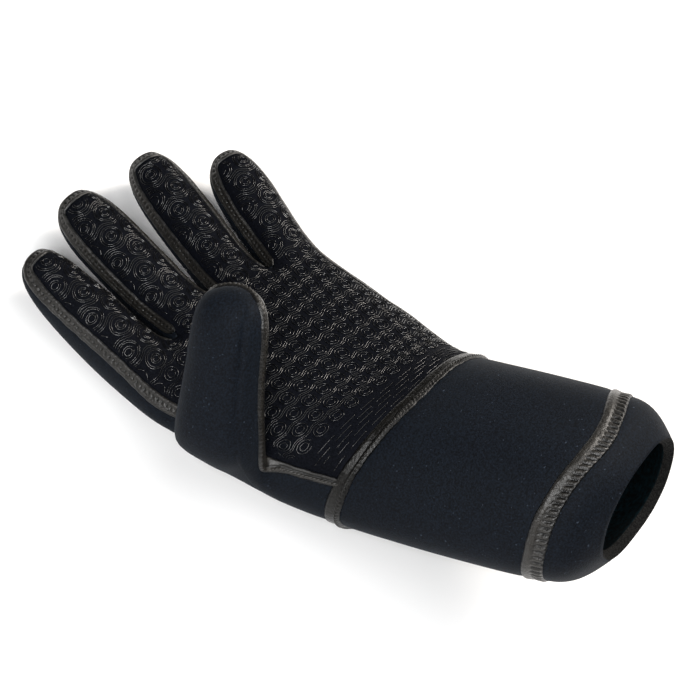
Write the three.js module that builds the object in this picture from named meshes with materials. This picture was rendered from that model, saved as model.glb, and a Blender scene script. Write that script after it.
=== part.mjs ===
import * as THREE from 'three';

// Diving glove for a left hand. Sizes in mm, angles in degrees.
// +Y runs from the cuff to the finger tips, +Z comes out of the palm, the thumb is on the -X side.

// Foam sheet and sewn lines
const WALL = 4.6; // neoprene with its lining
const SHY = 0.55; // each panel ends this far short of the seam line
// Tapes: reach over the palm side and the back side, height of the gap under, thickness, crown
const TAPE = { palm: 2, back: 3.8, lift: 0.5, thick: 0.6, crown: 0.4 };
const THUMB_TAPE = { palm: 1.2, back: 3.8, lift: 0.7, thick: 0.6, crown: 0.4 };
const WRIST_BAND = { palm: 2.8, back: 4.4, lift: 0.5, thick: 0.9, crown: 0.3 };
const CUFF_BAND = { palm: 4.2, back: 4.2, lift: 0.5, thick: 0.9, crown: 0.3 };

// Mesh layout
const COLUMNS = 3; // quads across one digit
const ACROSS = 4 * COLUMNS; // quads across the palm
const SMOOTHING = 1; // rounds of smoothing

// How the glove lies on its back: turned until it balances, its foam pressed flat on the floor
const REST = { pitch: 21, roll: 6, sink: 1.8 };

// Centre line of the cuff and palm: along, rise, swing to the little finger
const SPINE = [
  [-110, -8.5, 0],
  [-14, -8.5, 0],
  [30, 16.5, 13],
  [60, 14, 11],
  [103, 11, 9],
  [150, 11, 9],
];

// Sections: along, half width at the thumb side, at the little finger's side, height above the
// centre line, depth under it, skew of the section in plan, lean of the section in side view
const HAND = [
  [0, 48.5, 49.5, 31, 34, 13, 0],
  [27, 56, 53.7, 27, 33.6, 7, 0],
  [45, 57, 55.2, 22.5, 29.5, 4, 0],
  [62, 55.5, 54.8, 17, 25.5, 2, 0],
  [80, 55.5, 55, 13, 22.5, 0.6, 0],
  [103, 58.5, 55, 10, 22, 0, 0],
];
const CUFF = [
  [-40, 45.6, 47, 34.6, 34.5, 5.5, 1.5],
  [-75.5, 44.7, 45.5, 33.5, 34, 3, 3],
];
const CUFF_END = [
  [-90, 42.6, 43.4, 32.7, 31.8, 3.7, 3.2],
  [-100.5, 28.7, 29.6, 21.8, 21.3, 4.5, 2.5],
];
const PALM_HOLLOW = 3.3;
// How far the section falls away to its edges: palm side, back side
const EDGE_DROP = { wrist: 0.55, knuckles: 0.92 };
const UNDER_DROP = { wrist: 0.42, knuckles: 0.14 };

// Finger boundaries along the knuckles, index to little: across, along
const KNUCKLES = [
  [-58.5, 93],
  [-29.5, 106],
  [-0.5, 106],
  [27.5, 98],
  [55, 87],
];

// Fingers: name, length, fan, rise, curl, half width, back bulge, roll, shift of the base
const FINGERS = [
  ['index', 75.5, 2.6, 9, 3.5, 12.6, 1.45, -5, 0],
  ['middle', 78.5, 7.1, 10, 2.5, 13.8, 0.95, 6, 0],
  ['ring', 77.5, 16.4, 7, 4, 12.7, 0.9, 8, 1],
  ['little', 62, 19.8, 9.5, 3.5, 12.3, 0.95, 0, 0.5],
];
const FINGER = { crown: 7.5, depth: 15.5 };
// Finger sections: share of the length, of the half width, of the depth, of the back bulge
const FINGER_STATIONS = [
  [0.18, 0.9, 1, 1],
  [0.55, 1, 1, 0.5],
  [0.86, 0.93, 0.9, 0],
  [1, 0.58, 0.58, 0],
];

const THUMB = { length: 81.5, leanBase: 97, leanTip: 109, slope: 1, half: 14.6, drop: 6 };
const THUMB_SECTION = { crown: 8, depth: 18 };
const THUMB_ROWS = [1, 4]; // hand sections between which the thumb grows
// Thumb sections: share of the length, of the half width, of the depth
const THUMB_STATIONS = [
  [0.16, 1.24, 1.22],
  [0.42, 1.08, 1.08],
  [0.66, 1, 1],
  [0.82, 0.98, 0.97],
  [0.95, 0.87, 0.84],
  [1, 0.58, 0.56],
];
const TIP_BULGE = 2.5;

// Outline of a digit: share of the half width, share of the crown (up) or depth (down)
const DIGIT_RING = [
  [-1.04, 0],
  [-0.44, 1],
  [0.44, 1],
  [1.04, 0],
  [1.14, -0.5],
  [0.83, -0.98],
  [0.29, -1.12],
  [-0.29, -1.12],
  [-0.83, -0.98],
  [-1.14, -0.5],
];

// Colours of the slots
const COLOURS = {
  neoprene: 0x141a24,
  grip_fabric: 0x17181a,
  seam_tape: 0x3b3a38,
};

const rad = THREE.MathUtils.degToRad;
const vec = (x, y, z) => new THREE.Vector3(x, y, z);
const mix = (a, b, t) => a + (b - a) * t;
const middle = (a, b) => a.clone().add(b).multiplyScalar(0.5);

function smooth(t) {
  const s = Math.min(Math.max(t, 0), 1);
  return s * s * (3 - 2 * s);
}

// Rise and swing of the centre line at a distance along it, in radians
function spineAngles(along) {
  let k = 0;
  while (k < SPINE.length - 2 && along > SPINE[k + 1][0]) k += 1;
  const [from, rise0, swing0] = SPINE[k];
  const [to, rise1, swing1] = SPINE[k + 1];
  const t = smooth((along - from) / (to - from));
  return [rad(mix(rise0, rise1, t)), rad(mix(swing0, swing1, t))];
}

// Directions along, across and out of the palm for a rise and a swing
function axes(rise, swing, roll = 0) {
  const along = vec(
    Math.sin(swing) * Math.cos(rise),
    Math.cos(swing) * Math.cos(rise),
    Math.sin(rise),
  );
  const out = vec(
    -Math.sin(swing) * Math.sin(rise),
    -Math.cos(swing) * Math.sin(rise),
    Math.cos(rise),
  );
  const across = along.clone().cross(out);
  across.applyAxisAngle(along, -roll);
  out.applyAxisAngle(along, -roll);
  return { along, across, out };
}

// Centre line by steps of one mm both ways from the wrist
const REACH = 150;
const centreLine = new Map([[0, vec(0, 0, 0)]]);
for (const way of [1, -1]) {
  const p = vec(0, 0, 0);
  for (let i = 0; i < REACH; i += 1) {
    p.addScaledVector(axes(...spineAngles(way * (i + 0.5))).along, way);
    centreLine.set(way * (i + 1), p.clone());
  }
}

// A point given by its place across, along and out of the bent centre line
function place(across, along, out) {
  const step = Math.floor(along);
  const p = centreLine.get(step).clone().lerp(centreLine.get(step + 1), along - step);
  const at = axes(...spineAngles(along));
  return p.addScaledVector(at.across, across).addScaledVector(at.out, out);
}

const points = [];
const patches = {};

function add(p) {
  points.push(p);
  return points.length - 1;
}

// Knuckle line at one of the columns across the palm
function knuckleAt(column) {
  const finger = Math.min(Math.floor(column / COLUMNS), 3);
  const share = column / COLUMNS - finger;
  return [0, 1].map((k) => mix(KNUCKLES[finger][k], KNUCKLES[finger + 1][k], share));
}

// One section of the hand or cuff. Reach is 0 at the wrist and 1 at the knuckles.
function section([along, thumbSide, littleSide, crown, depth, skew, lean], reach = 0) {
  const top = [];
  const under = [];
  const span = KNUCKLES[4][0] - KNUCKLES[0][0];
  const drop = mix(EDGE_DROP.wrist, EDGE_DROP.knuckles, reach);
  let first = 0;
  let last = 0;
  for (let j = 0; j <= ACROSS; j += 1) {
    const [kneeAcross, kneeAlong] = knuckleAt(j);
    const even = (2 * j) / ACROSS - 1;
    const share = ((kneeAcross - KNUCKLES[0][0]) / span) * 2 - 1;
    const x = mix(0.9 * even, share, reach);
    const across = (littleSide - thumbSide) / 2 + (x * (littleSide + thumbSide)) / 2;
    const at = along + (kneeAlong - HAND[5][0]) * reach * reach;
    const dip = PALM_HOLLOW * Math.max(0, 1 - (x / 0.7) ** 2) * Math.sin(Math.PI * Math.min(1, reach * 1.1));
    const high = crown * (1 - Math.abs(even) ** 3 * drop) - dip;
    const edge = j === 0 || j === ACROSS;
    const edgeTuck = j === 0 && reach > 0 ? 0.94 : mix(0.95, 0.84, reach);
    const tuck = edge ? edgeTuck : 0.97;
    const low = -depth * (1 - Math.abs(even) ** 3 * mix(UNDER_DROP.wrist, UNDER_DROP.knuckles, reach));
    top.push(add(place(across, at - skew * x - (lean * high) / depth, high)));
    under.push(add(place(across * tuck, at - skew * x - (lean * low) / depth, low)));
    if (j === 0) first = at;
    last = at;
  }
  const flank = -(0.15 + 0.3 * reach);
  const little = add(place(littleSide * 1.07, last - skew * 0.95 - lean * flank, depth * flank));
  const thumb = add(place(-thumbSide * 1.07, first + skew * 0.95 - lean * flank, depth * flank));
  return { top, under, little, thumb };
}

const ringOf = ({ top, under, little, thumb }) => [...top, little, ...[...under].reverse(), thumb];
const closed = (ring) => [...ring, ring[0]];

// Patches of a digit from its rings of points
function digitPatches(name, rings, push) {
  const k = COLUMNS;
  patches[`${name}_top`] = rings.map((r) => r.slice(0, k + 1));
  patches[`${name}_right`] = rings.map((r) => r.slice(k, k + 3));
  patches[`${name}_under`] = rings.map((r) => r.slice(k + 2, 2 * k + 3));
  patches[`${name}_left`] = rings.map((r) => [r[2 * k + 2], r[2 * k + 3], r[0]]);
  const tip = rings[rings.length - 1];
  const top = tip.slice(0, k + 1);
  const under = tip.slice(k + 2, 2 * k + 3).reverse();
  const between = [];
  for (let i = 1; i < k; i += 1) {
    between.push(add(middle(points[top[i]], points[under[i]]).add(push)));
  }
  patches[`${name}_cap`] = [top, [tip[2 * k + 3], ...between, tip[k + 1]], under];
}

function digitRing(centre, at, half, crown, depth) {
  return DIGIT_RING.map(([x, z]) => {
    const p = centre.clone().addScaledVector(at.across, x * half);
    return add(p.addScaledVector(at.out, z * (z > 0 ? crown : depth)));
  });
}

// Cage of the whole glove
function buildCage() {
  const hand = HAND.map((row) => section(row, row[0] / HAND[5][0]));
  const cuff = CUFF.map((row) => section(row));
  const end = CUFF_END.map((row) => section(row));
  const last = hand[5];
  patches.palm_top = hand.map((s) => s.top);
  patches.palm_under = hand.map((s) => [...s.under].reverse());
  patches.side_right = hand.map((s) => [s.top[ACROSS], s.little, s.under[ACROSS]]);
  const left = hand.map((s) => [s.under[0], s.thumb, s.top[0]]);
  const [from, to] = THUMB_ROWS;
  patches.side_left_low = left.slice(0, from + 1);
  patches.side_left_high = left.slice(to);
  patches.cuff = [hand[0], ...cuff].map((s) => closed(ringOf(s))).reverse();
  patches.cuff_end = [cuff[1], ...end].map((s) => closed(ringOf(s))).reverse();

  const webs = [1, 2, 3].map((f) => {
    const j = f * COLUMNS;
    return add(middle(points[last.top[j]], points[last.under[j]]));
  });
  FINGERS.forEach(([name, length, fan, rise, curl, half, bulge, roll, shift], f) => {
    const j0 = f * COLUMNS;
    const j1 = j0 + COLUMNS;
    const right = f === 3 ? last.little : webs[f];
    const leftMid = f === 0 ? last.thumb : webs[f - 1];
    const under = last.under.slice(j0, j1 + 1).reverse();
    const rings = [[...last.top.slice(j0, j1 + 1), right, ...under, leftMid]];
    const along = (KNUCKLES[f][1] + KNUCKLES[f + 1][1]) / 2;
    const [rise0, swing0] = spineAngles(along);
    const centre = place((KNUCKLES[f][0] + KNUCKLES[f + 1][0]) / 2 + shift, along, 0);
    const swing = swing0 + rad(fan);
    const riseAt = (share) => rise0 + rad(rise + curl * share);
    let done = 0;
    let at = null;
    for (const [share, wide, deep, back] of FINGER_STATIONS) {
      for (let q = 0; q < 4; q += 1) {
        const step = (share - done) / 4;
        centre.addScaledVector(axes(riseAt(done + step * (q + 0.5)), swing).along, length * step);
      }
      at = axes(riseAt(share), swing, rad(roll));
      const depth = FINGER.depth * deep * (1 + (bulge - 1) * back);
      rings.push(digitRing(centre, at, half * wide, FINGER.crown * deep, depth));
      done = share;
    }
    digitPatches(name, rings, at.along.clone().multiplyScalar(TIP_BULGE));
  });

  const roots = hand.slice(from, to + 1);
  const base = [
    ...roots.map((s) => s.top[0]),
    hand[to].thumb,
    ...roots.map((s) => s.under[0]).reverse(),
    hand[from].thumb,
  ];
  const rings = [base];
  const slope = rad(THUMB.slope);
  const thumbAxes = (share) => {
    const lean = rad(mix(THUMB.leanBase, THUMB.leanTip, smooth(share / 0.6)));
    const along = vec(
      -Math.cos(lean) * Math.cos(slope),
      Math.sin(slope),
      Math.sin(lean) * Math.cos(slope),
    );
    const out = vec(Math.sin(lean), 0, Math.cos(lean));
    return { along, across: along.clone().cross(out), out };
  };
  const centre = place(
    -(HAND[from][1] + HAND[to][1]) / 2,
    (HAND[from][0] + HAND[to][0]) / 2,
    -THUMB.drop,
  );
  let done = 0;
  let at = null;
  for (const [share, wide, deep] of THUMB_STATIONS) {
    for (let q = 0; q < 4; q += 1) {
      const step = (share - done) / 4;
      centre.addScaledVector(thumbAxes(done + step * (q + 0.5)).along, THUMB.length * step);
    }
    at = thumbAxes(share);
    const { crown, depth } = THUMB_SECTION;
    rings.push(digitRing(centre, at, THUMB.half * wide, crown * deep, depth * deep));
    done = share;
  }
  digitPatches('thumb', rings, at.along.clone().multiplyScalar(TIP_BULGE));
}

const quadsOf = (grid) => {
  const quads = [];
  for (let r = 0; r + 1 < grid.length; r += 1) {
    for (let c = 0; c + 1 < grid[r].length; c += 1) {
      quads.push([grid[r][c], grid[r][c + 1], grid[r + 1][c + 1], grid[r + 1][c]]);
    }
  }
  return quads;
};

// One round of smoothing: each quad becomes four and the corners are averaged
function smoothOnce(pts, nets) {
  const names = Object.keys(nets);
  const quads = names.flatMap((n) => quadsOf(nets[n]));
  const centres = quads.map((q) => q.reduce((s, i) => s.add(pts[i]), vec(0, 0, 0)).multiplyScalar(0.25));
  const edges = new Map();
  const keyOf = (a, b) => Math.min(a, b) * pts.length + Math.max(a, b);
  quads.forEach((q, f) => {
    q.forEach((a, k) => {
      const b = q[(k + 1) % 4];
      const key = keyOf(a, b);
      if (!edges.has(key)) edges.set(key, { a, b, faces: [], id: edges.size });
      edges.get(key).faces.push(f);
    });
  });
  const sums = pts.map(() => ({ faces: vec(0, 0, 0), nf: 0, mids: vec(0, 0, 0), ne: 0, rim: [] }));
  quads.forEach((q, f) => {
    for (const i of q) {
      sums[i].faces.add(centres[f]);
      sums[i].nf += 1;
    }
  });
  const edgePoints = [];
  for (const { a, b, faces } of edges.values()) {
    const mid = middle(pts[a], pts[b]);
    for (const i of [a, b]) {
      sums[i].mids.add(mid);
      sums[i].ne += 1;
    }
    if (faces.length === 2) {
      edgePoints.push(middle(mid, middle(centres[faces[0]], centres[faces[1]])));
    } else {
      edgePoints.push(mid);
      sums[a].rim.push(b);
      sums[b].rim.push(a);
    }
  }
  const corners = pts.map((p, i) => {
    const s = sums[i];
    if (s.ne === 0) return p.clone();
    if (s.rim.length) {
      return p.clone().multiplyScalar(6).add(pts[s.rim[0]]).add(pts[s.rim[1]]).multiplyScalar(1 / 8);
    }
    const n = s.ne;
    const q = s.faces.clone().multiplyScalar(1 / s.nf);
    return q.addScaledVector(s.mids, 2 / n).addScaledVector(p, n - 3).multiplyScalar(1 / n);
  });
  const edgeAt = (a, b) => pts.length + edges.get(keyOf(a, b)).id;
  let face = pts.length + edges.size;
  const finer = {};
  for (const name of names) {
    const g = nets[name];
    const rows = [];
    for (let r = 0; r < g.length; r += 1) {
      const row = [];
      g[r].forEach((i, c) => {
        row.push(i);
        if (c + 1 < g[r].length) row.push(edgeAt(i, g[r][c + 1]));
      });
      rows.push(row);
      if (r + 1 < g.length) {
        const between = [];
        g[r].forEach((i, c) => {
          between.push(edgeAt(i, g[r + 1][c]));
          if (c + 1 < g[r].length) {
            between.push(face);
            face += 1;
          }
        });
        rows.push(between);
      }
    }
    finer[name] = rows;
  }
  return [[...corners, ...edgePoints, ...centres], finer];
}

// Turns the glove into the way it balances on its back and presses its foam flat on the floor
function settle(pts, nets) {
  const used = new Set(Object.values(nets).flat(2));
  const x = vec(1, 0, 0);
  const y = vec(0, 1, 0);
  let floor = Infinity;
  pts.forEach((p, i) => {
    p.applyAxisAngle(x, -rad(REST.pitch)).applyAxisAngle(y, rad(REST.roll));
    if (used.has(i)) floor = Math.min(floor, p.z);
  });
  for (const p of pts) p.z = Math.max(p.z - floor - REST.sink, 0);
}

function normalsOf(pts, nets) {
  const sums = pts.map(() => vec(0, 0, 0));
  for (const [a, b, c, d] of Object.values(nets).flatMap(quadsOf)) {
    const n = pts[c].clone().sub(pts[a]).cross(pts[d].clone().sub(pts[b]));
    for (const i of [a, b, c, d]) sums[i].add(n);
  }
  return sums.map((n) => n.normalize());
}

const group = new THREE.Group();
group.name = 'diving_glove';

function mesh(name, slot, verts, triangles) {
  const geometry = new THREE.BufferGeometry();
  const numbers = verts.flatMap((p) => p.toArray());
  geometry.setAttribute('position', new THREE.Float32BufferAttribute(numbers, 3));
  geometry.setIndex(triangles.flat());
  geometry.computeVertexNormals();
  const material = new THREE.MeshStandardMaterial({ color: COLOURS[slot], name: slot, roughness: 0.8 });
  const solid = new THREE.Mesh(geometry, material);
  solid.name = name;
  group.add(solid);
}

// A panel of foam: the patches outside, the same moved in by the wall, and a cut edge all round
function panel(name, slot, names, pts, normals, nets) {
  const quads = names.flatMap((n) => quadsOf(nets[n]));
  const index = new Map();
  quads.flat().forEach((i) => {
    if (!index.has(i)) index.set(i, index.size);
  });
  const count = index.size;
  const sides = new Map();
  quads.forEach((q) => {
    q.forEach((a, k) => sides.set(`${a},${q[(k + 1) % 4]}`, [a, q[(k + 1) % 4]]));
  });
  const rim = [...sides.values()].filter(([a, b]) => !sides.has(`${b},${a}`));
  const onRim = new Set(rim.flat());
  const pull = new Map();
  for (const q of quads) {
    const centre = q.reduce((s, i) => s.add(pts[i]), vec(0, 0, 0)).multiplyScalar(0.25);
    for (const i of q.filter((k) => onRim.has(k))) {
      pull.set(i, (pull.get(i) ?? vec(0, 0, 0)).add(centre).sub(pts[i]));
    }
  }
  const outer = [];
  const inner = [];
  for (const i of index.keys()) {
    const p = pts[i].clone();
    if (pull.has(i)) {
      const way = pull.get(i);
      way.addScaledVector(normals[i], -way.dot(normals[i])).normalize();
      p.addScaledVector(way, SHY);
    }
    outer.push(p);
    inner.push(p.clone().addScaledVector(normals[i], -WALL));
  }
  const triangles = [];
  for (const q of quads) {
    const [a, b, c, d] = q.map((i) => index.get(i));
    triangles.push([a, b, c], [a, c, d]);
    triangles.push([a + count, c + count, b + count], [a + count, d + count, c + count]);
  }
  for (const [i, k] of rim) {
    const [a, b] = [index.get(i), index.get(k)];
    if (i < k) triangles.push([a, a + count, b + count], [a, b + count, b]);
    else triangles.push([a, a + count, b], [a + count, b + count, b]);
  }
  mesh(name, slot, [...outer, ...inner], triangles);
}

// The seam lines. Each point has its walk over the palm panel and its walk over the back panel.
function seamLines(nets) {
  const back = (row) => [...row].reverse();
  const leftEdge = (top, side) => top.map((row, r) => [row, back(side[r])]);
  const rightEdge = (top, side) => top.map((row, r) => [back(row), side[r]]).reverse();
  const tip = (name) => {
    const top = nets[`${name}_top`];
    const cap = nets[`${name}_cap`];
    const rows = top.length;
    const columns = top[0].length;
    const half = Math.floor(columns / 2);
    return cap[0].map((_, j) => {
      const steps = [...Array(j === 0 || j === columns - 1 ? half : rows).keys()];
      const turn = j === 0 ? 1 : j === columns - 1 ? -1 : 0;
      return [steps.map((k) => top[rows - 1 - k][j + turn * k]), cap.map((row) => row[j])];
    });
  };
  const round = (name) => {
    const top = nets[`${name}_top`];
    const up = leftEdge(top, nets[`${name}_left`]).slice(0, -1);
    const down = rightEdge(top, nets[`${name}_right`]).slice(1);
    return [...up, ...tip(name), ...down];
  };
  const palm = nets.palm_top;
  const low = nets.side_left_low;
  const high = nets.side_left_high;
  const start = leftEdge(palm.slice(0, low.length), low);
  const corner = [[0, 1, 2].map((k) => palm[low.length - 1 + k][k]), start[start.length - 1][1]];
  const bridge = leftEdge(palm.slice(palm.length - high.length), high);
  const finish = rightEdge(palm, nets.side_right);
  const columnsOf = (grid, flip) => grid[0].map((_, j) => {
    const column = grid.map((row) => row[j]);
    return flip ? column.reverse() : column;
  });
  const wristWalks = [
    ...columnsOf(palm, false),
    ...columnsOf(nets.side_right, false).slice(1, -1),
    ...columnsOf(nets.palm_under, false),
    ...columnsOf(low, false).slice(1, -1),
  ];
  const cuffUp = columnsOf(nets.cuff, true);
  const cuffDown = columnsOf(nets.cuff, false);
  const endWalks = columnsOf(nets.cuff_end, true);
  return {
    thumb: [...start.slice(0, -1), corner, ...round('thumb').slice(1)],
    index: [...bridge.slice(0, -1), ...round('index')],
    middle: round('middle'),
    ring: round('ring'),
    little: [...round('little'), ...finish.slice(1)],
    wrist: wristWalks.map((walk, k) => [walk, cuffUp[k]]).reverse(),
    cuff: cuffDown.slice(0, -1).map((walk, k) => [walk, endWalks[k]]).reverse(),
  };
}

// A tape along a seam line, cut short by a length at its start and its end
function tape(name, line, size, cuts, pts, normals) {
  const stroll = (walk, distance) => {
    let left = distance;
    let k = 0;
    let step = pts[walk[0]].distanceTo(pts[walk[1]]);
    while (left > step && k + 2 < walk.length) {
      left -= step;
      k += 1;
      step = pts[walk[k]].distanceTo(pts[walk[k + 1]]);
    }
    const t = Math.min(left / step, 1);
    const p = pts[walk[k]].clone().lerp(pts[walk[k + 1]], t);
    const n = normals[walk[k]].clone().lerp(normals[walk[k + 1]], t).normalize();
    return [p, n];
  };
  let sections = line.map(([palm, under]) => {
    const a = stroll(palm, size.palm);
    const b = stroll(under, size.back);
    const m = [pts[palm[0]], normals[palm[0]]];
    const at = ([p, n], height) => p.clone().addScaledVector(n, height);
    const { lift, crown } = size;
    const top = lift + size.thick;
    return [at(a, lift), at(m, lift), at(b, lift), at(b, top), at(m, top + crown), at(a, top)];
  });
  if (cuts) {
    const trim = (list, length) => {
      let left = length;
      let k = 0;
      let step = list[0][1].distanceTo(list[1][1]);
      while (left > step) {
        left -= step;
        k += 1;
        step = list[k][1].distanceTo(list[k + 1][1]);
      }
      const first = list[k].map((p, i) => p.clone().lerp(list[k + 1][i], left / step));
      return [first, ...list.slice(k + 1)];
    };
    sections = trim(sections, cuts[0]);
    sections = trim(sections.reverse(), cuts[1]).reverse();
  }
  const count = sections.length;
  const sides = sections[0].length;
  const triangles = [];
  for (let i = 0; i < (cuts ? count - 1 : count); i += 1) {
    for (let k = 0; k < sides; k += 1) {
      const [a, b] = [i * sides + k, i * sides + ((k + 1) % sides)];
      const [c, d] = [((i + 1) % count) * sides + k, ((i + 1) % count) * sides + ((k + 1) % sides)];
      triangles.push([a, d, c], [a, b, d]);
    }
  }
  if (cuts) {
    const end = (count - 1) * sides;
    for (let k = 1; k + 1 < sides; k += 1) {
      triangles.push([0, k + 1, k], [end, end + k, end + k + 1]);
    }
  }
  mesh(name, 'seam_tape', sections.flat(), triangles);
}

buildCage();
let pts = points;
let nets = patches;
for (let k = 0; k < SMOOTHING; k += 1) [pts, nets] = smoothOnce(pts, nets);
settle(pts, nets);
const normals = normalsOf(pts, nets);

const DIGITS = ['thumb', ...FINGERS.map(([name]) => name)];
const palmNames = ['palm_top', ...DIGITS.map((name) => `${name}_top`)];
const backNames = Object.keys(nets).filter((name) => !palmNames.includes(name) && !name.startsWith('cuff'));
panel('palm_panel', 'grip_fabric', palmNames, pts, normals, nets);
panel('back_panel', 'neoprene', backNames, pts, normals, nets);
panel('cuff_sleeve', 'neoprene', ['cuff'], pts, normals, nets);
panel('cuff_end', 'neoprene', ['cuff_end'], pts, normals, nets);

// Tapes: seam, size, cut at the start, cut at the end
const TAPES = [
  ['thumb', THUMB_TAPE, 3.4, 7],
  ['index', TAPE, 7, 10],
  ['middle', TAPE, 10, 10],
  ['ring', TAPE, 10, 10],
  ['little', TAPE, 10, 3.4],
];
const lines = seamLines(nets);
for (const [name, size, start, end] of TAPES) {
  tape(`seam_${name}`, lines[name], size, [start, end], pts, normals);
}
tape('wrist_seam', lines.wrist, WRIST_BAND, null, pts, normals);
tape('cuff_seam', lines.cuff, CUFF_BAND, null, pts, normals);

// Origin under the middle of the whole
const box = new THREE.Box3().setFromObject(group);
const centre = box.getCenter(vec(0, 0, 0));
group.traverse((node) => {
  if (node.isMesh) node.geometry.translate(-centre.x, -centre.y, -box.min.z);
});

export default group;
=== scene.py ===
"""Looks of a left-hand diving glove of 5 mm foam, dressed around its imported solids.

The form is one cage of points for the whole glove, smoothed, laid on its back and cut along the seams
into foam panels. Tapes follow the seams, and a rubber grip print lies on the palm panel.
Tables are in millimetres and degrees, in the same frame as the solids; meshes are in metres.
"""

import logging
import math
from dataclasses import dataclass, field
from enum import Enum

import bpy
import numpy as np
from mathutils import Matrix, Vector, kdtree, noise
from mathutils.bvhtree import BVHTree


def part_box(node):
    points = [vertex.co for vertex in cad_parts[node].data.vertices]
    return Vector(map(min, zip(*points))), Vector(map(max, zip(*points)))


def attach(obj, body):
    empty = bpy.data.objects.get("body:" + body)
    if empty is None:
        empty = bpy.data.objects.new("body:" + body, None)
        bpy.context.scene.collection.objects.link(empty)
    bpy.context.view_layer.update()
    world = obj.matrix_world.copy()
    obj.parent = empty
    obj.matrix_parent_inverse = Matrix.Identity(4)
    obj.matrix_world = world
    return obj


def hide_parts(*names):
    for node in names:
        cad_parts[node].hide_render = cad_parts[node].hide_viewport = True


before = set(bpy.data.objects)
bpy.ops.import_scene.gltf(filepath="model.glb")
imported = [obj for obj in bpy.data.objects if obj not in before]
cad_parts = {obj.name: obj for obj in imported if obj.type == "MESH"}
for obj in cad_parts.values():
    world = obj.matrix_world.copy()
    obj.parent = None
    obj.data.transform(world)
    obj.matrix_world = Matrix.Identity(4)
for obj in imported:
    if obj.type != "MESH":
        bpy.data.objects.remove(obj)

MM = 0.001
SEED = 7
LOG = logging.getLogger("diving_glove")

Points = np.ndarray
Nets = dict[str, np.ndarray]
Walk = tuple[list[int], list[int]]
Tree = bpy.types.NodeTree
Sockets = bpy.types.NodeInputs
Socket = bpy.types.NodeSocket


def smooth(t: float) -> float:
    """Ease from 0 to 1.

    Args:
        t: Share of the way, held between 0 and 1.

    Returns:
        The eased share.
    """
    s = min(max(t, 0.0), 1.0)
    return s * s * (3 - 2 * s)


def mix(a: float, b: float, t: float) -> float:
    """Blend from a to b by the share t."""
    return a + (b - a) * t


def linear(code: str) -> tuple[float, float, float, float]:
    """Turn an sRGB hex colour to the linear colour that a shader takes.

    Args:
        code: Six hex digits after a number sign.

    Returns:
        Linear red, green and blue, and an alpha of 1.
    """
    shares = [int(code[k:k + 2], 16) / 255 for k in (1, 3, 5)]
    turned = [c / 12.92 if c <= 0.04045 else ((c + 0.055) / 1.055) ** 2.4 for c in shares]
    return (turned[0], turned[1], turned[2], 1.0)


def noise_at(places: Points, scale: float, seed: int = SEED) -> np.ndarray:
    """Smooth noise at many places.

    Args:
        places: Rows of x, y and z in mm.
        scale: Size of one lump in mm.
        seed: Moves the noise so that two uses differ.

    Returns:
        A value near -1 to 1 for each row.
    """
    shift = Vector((seed * 3.1, seed * 1.7, seed * 0.9))
    return np.array([noise.noise(Vector(p) / scale + shift) for p in places])


def axes(rise: float, swing: float, roll: float = 0.0) -> tuple[Points, Points, Points]:
    """Directions along, across and out of the palm.

    Args:
        rise: Angle above the floor, in radians.
        swing: Angle towards the little finger, in radians.
        roll: Turn about the direction along, in radians.

    Returns:
        Unit vectors along, across and out.
    """
    along = np.array([math.sin(swing) * math.cos(rise), math.cos(swing) * math.cos(rise), math.sin(rise)])
    out = np.array([-math.sin(swing) * math.sin(rise), -math.cos(swing) * math.sin(rise), math.cos(rise)])
    across = np.cross(along, out)
    c, s = math.cos(roll), math.sin(roll)
    return along, across * c + out * s, out * c - across * s


@dataclass(frozen=True)
class Section:
    """One section of the hand or cuff, in mm."""

    along: float
    thumb_side: float
    little_side: float
    crown: float
    depth: float
    skew: float
    lean: float


@dataclass(frozen=True)
class Finger:
    """One finger stall: mm and degrees."""

    name: str
    length: float
    fan: float
    rise: float
    curl: float
    half: float
    bulge: float
    roll: float
    shift: float


@dataclass(frozen=True)
class Thumb:
    """The thumb stall: mm and degrees. Stations hold shares of length, half width and depth."""

    length: float = 81.5
    lean_base: float = 97.0
    lean_tip: float = 109.0
    bend_end: float = 0.6
    slope: float = 1.0
    half: float = 14.6
    drop: float = 6.0
    crown: float = 8.0
    depth: float = 18.0
    rows: tuple[int, int] = (1, 4)
    stations: tuple[tuple[float, float, float], ...] = (
        (0.16, 1.24, 1.22),
        (0.42, 1.08, 1.08),
        (0.66, 1.0, 1.0),
        (0.82, 0.98, 0.97),
        (0.95, 0.87, 0.84),
        (1.0, 0.58, 0.56),
    )


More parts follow.
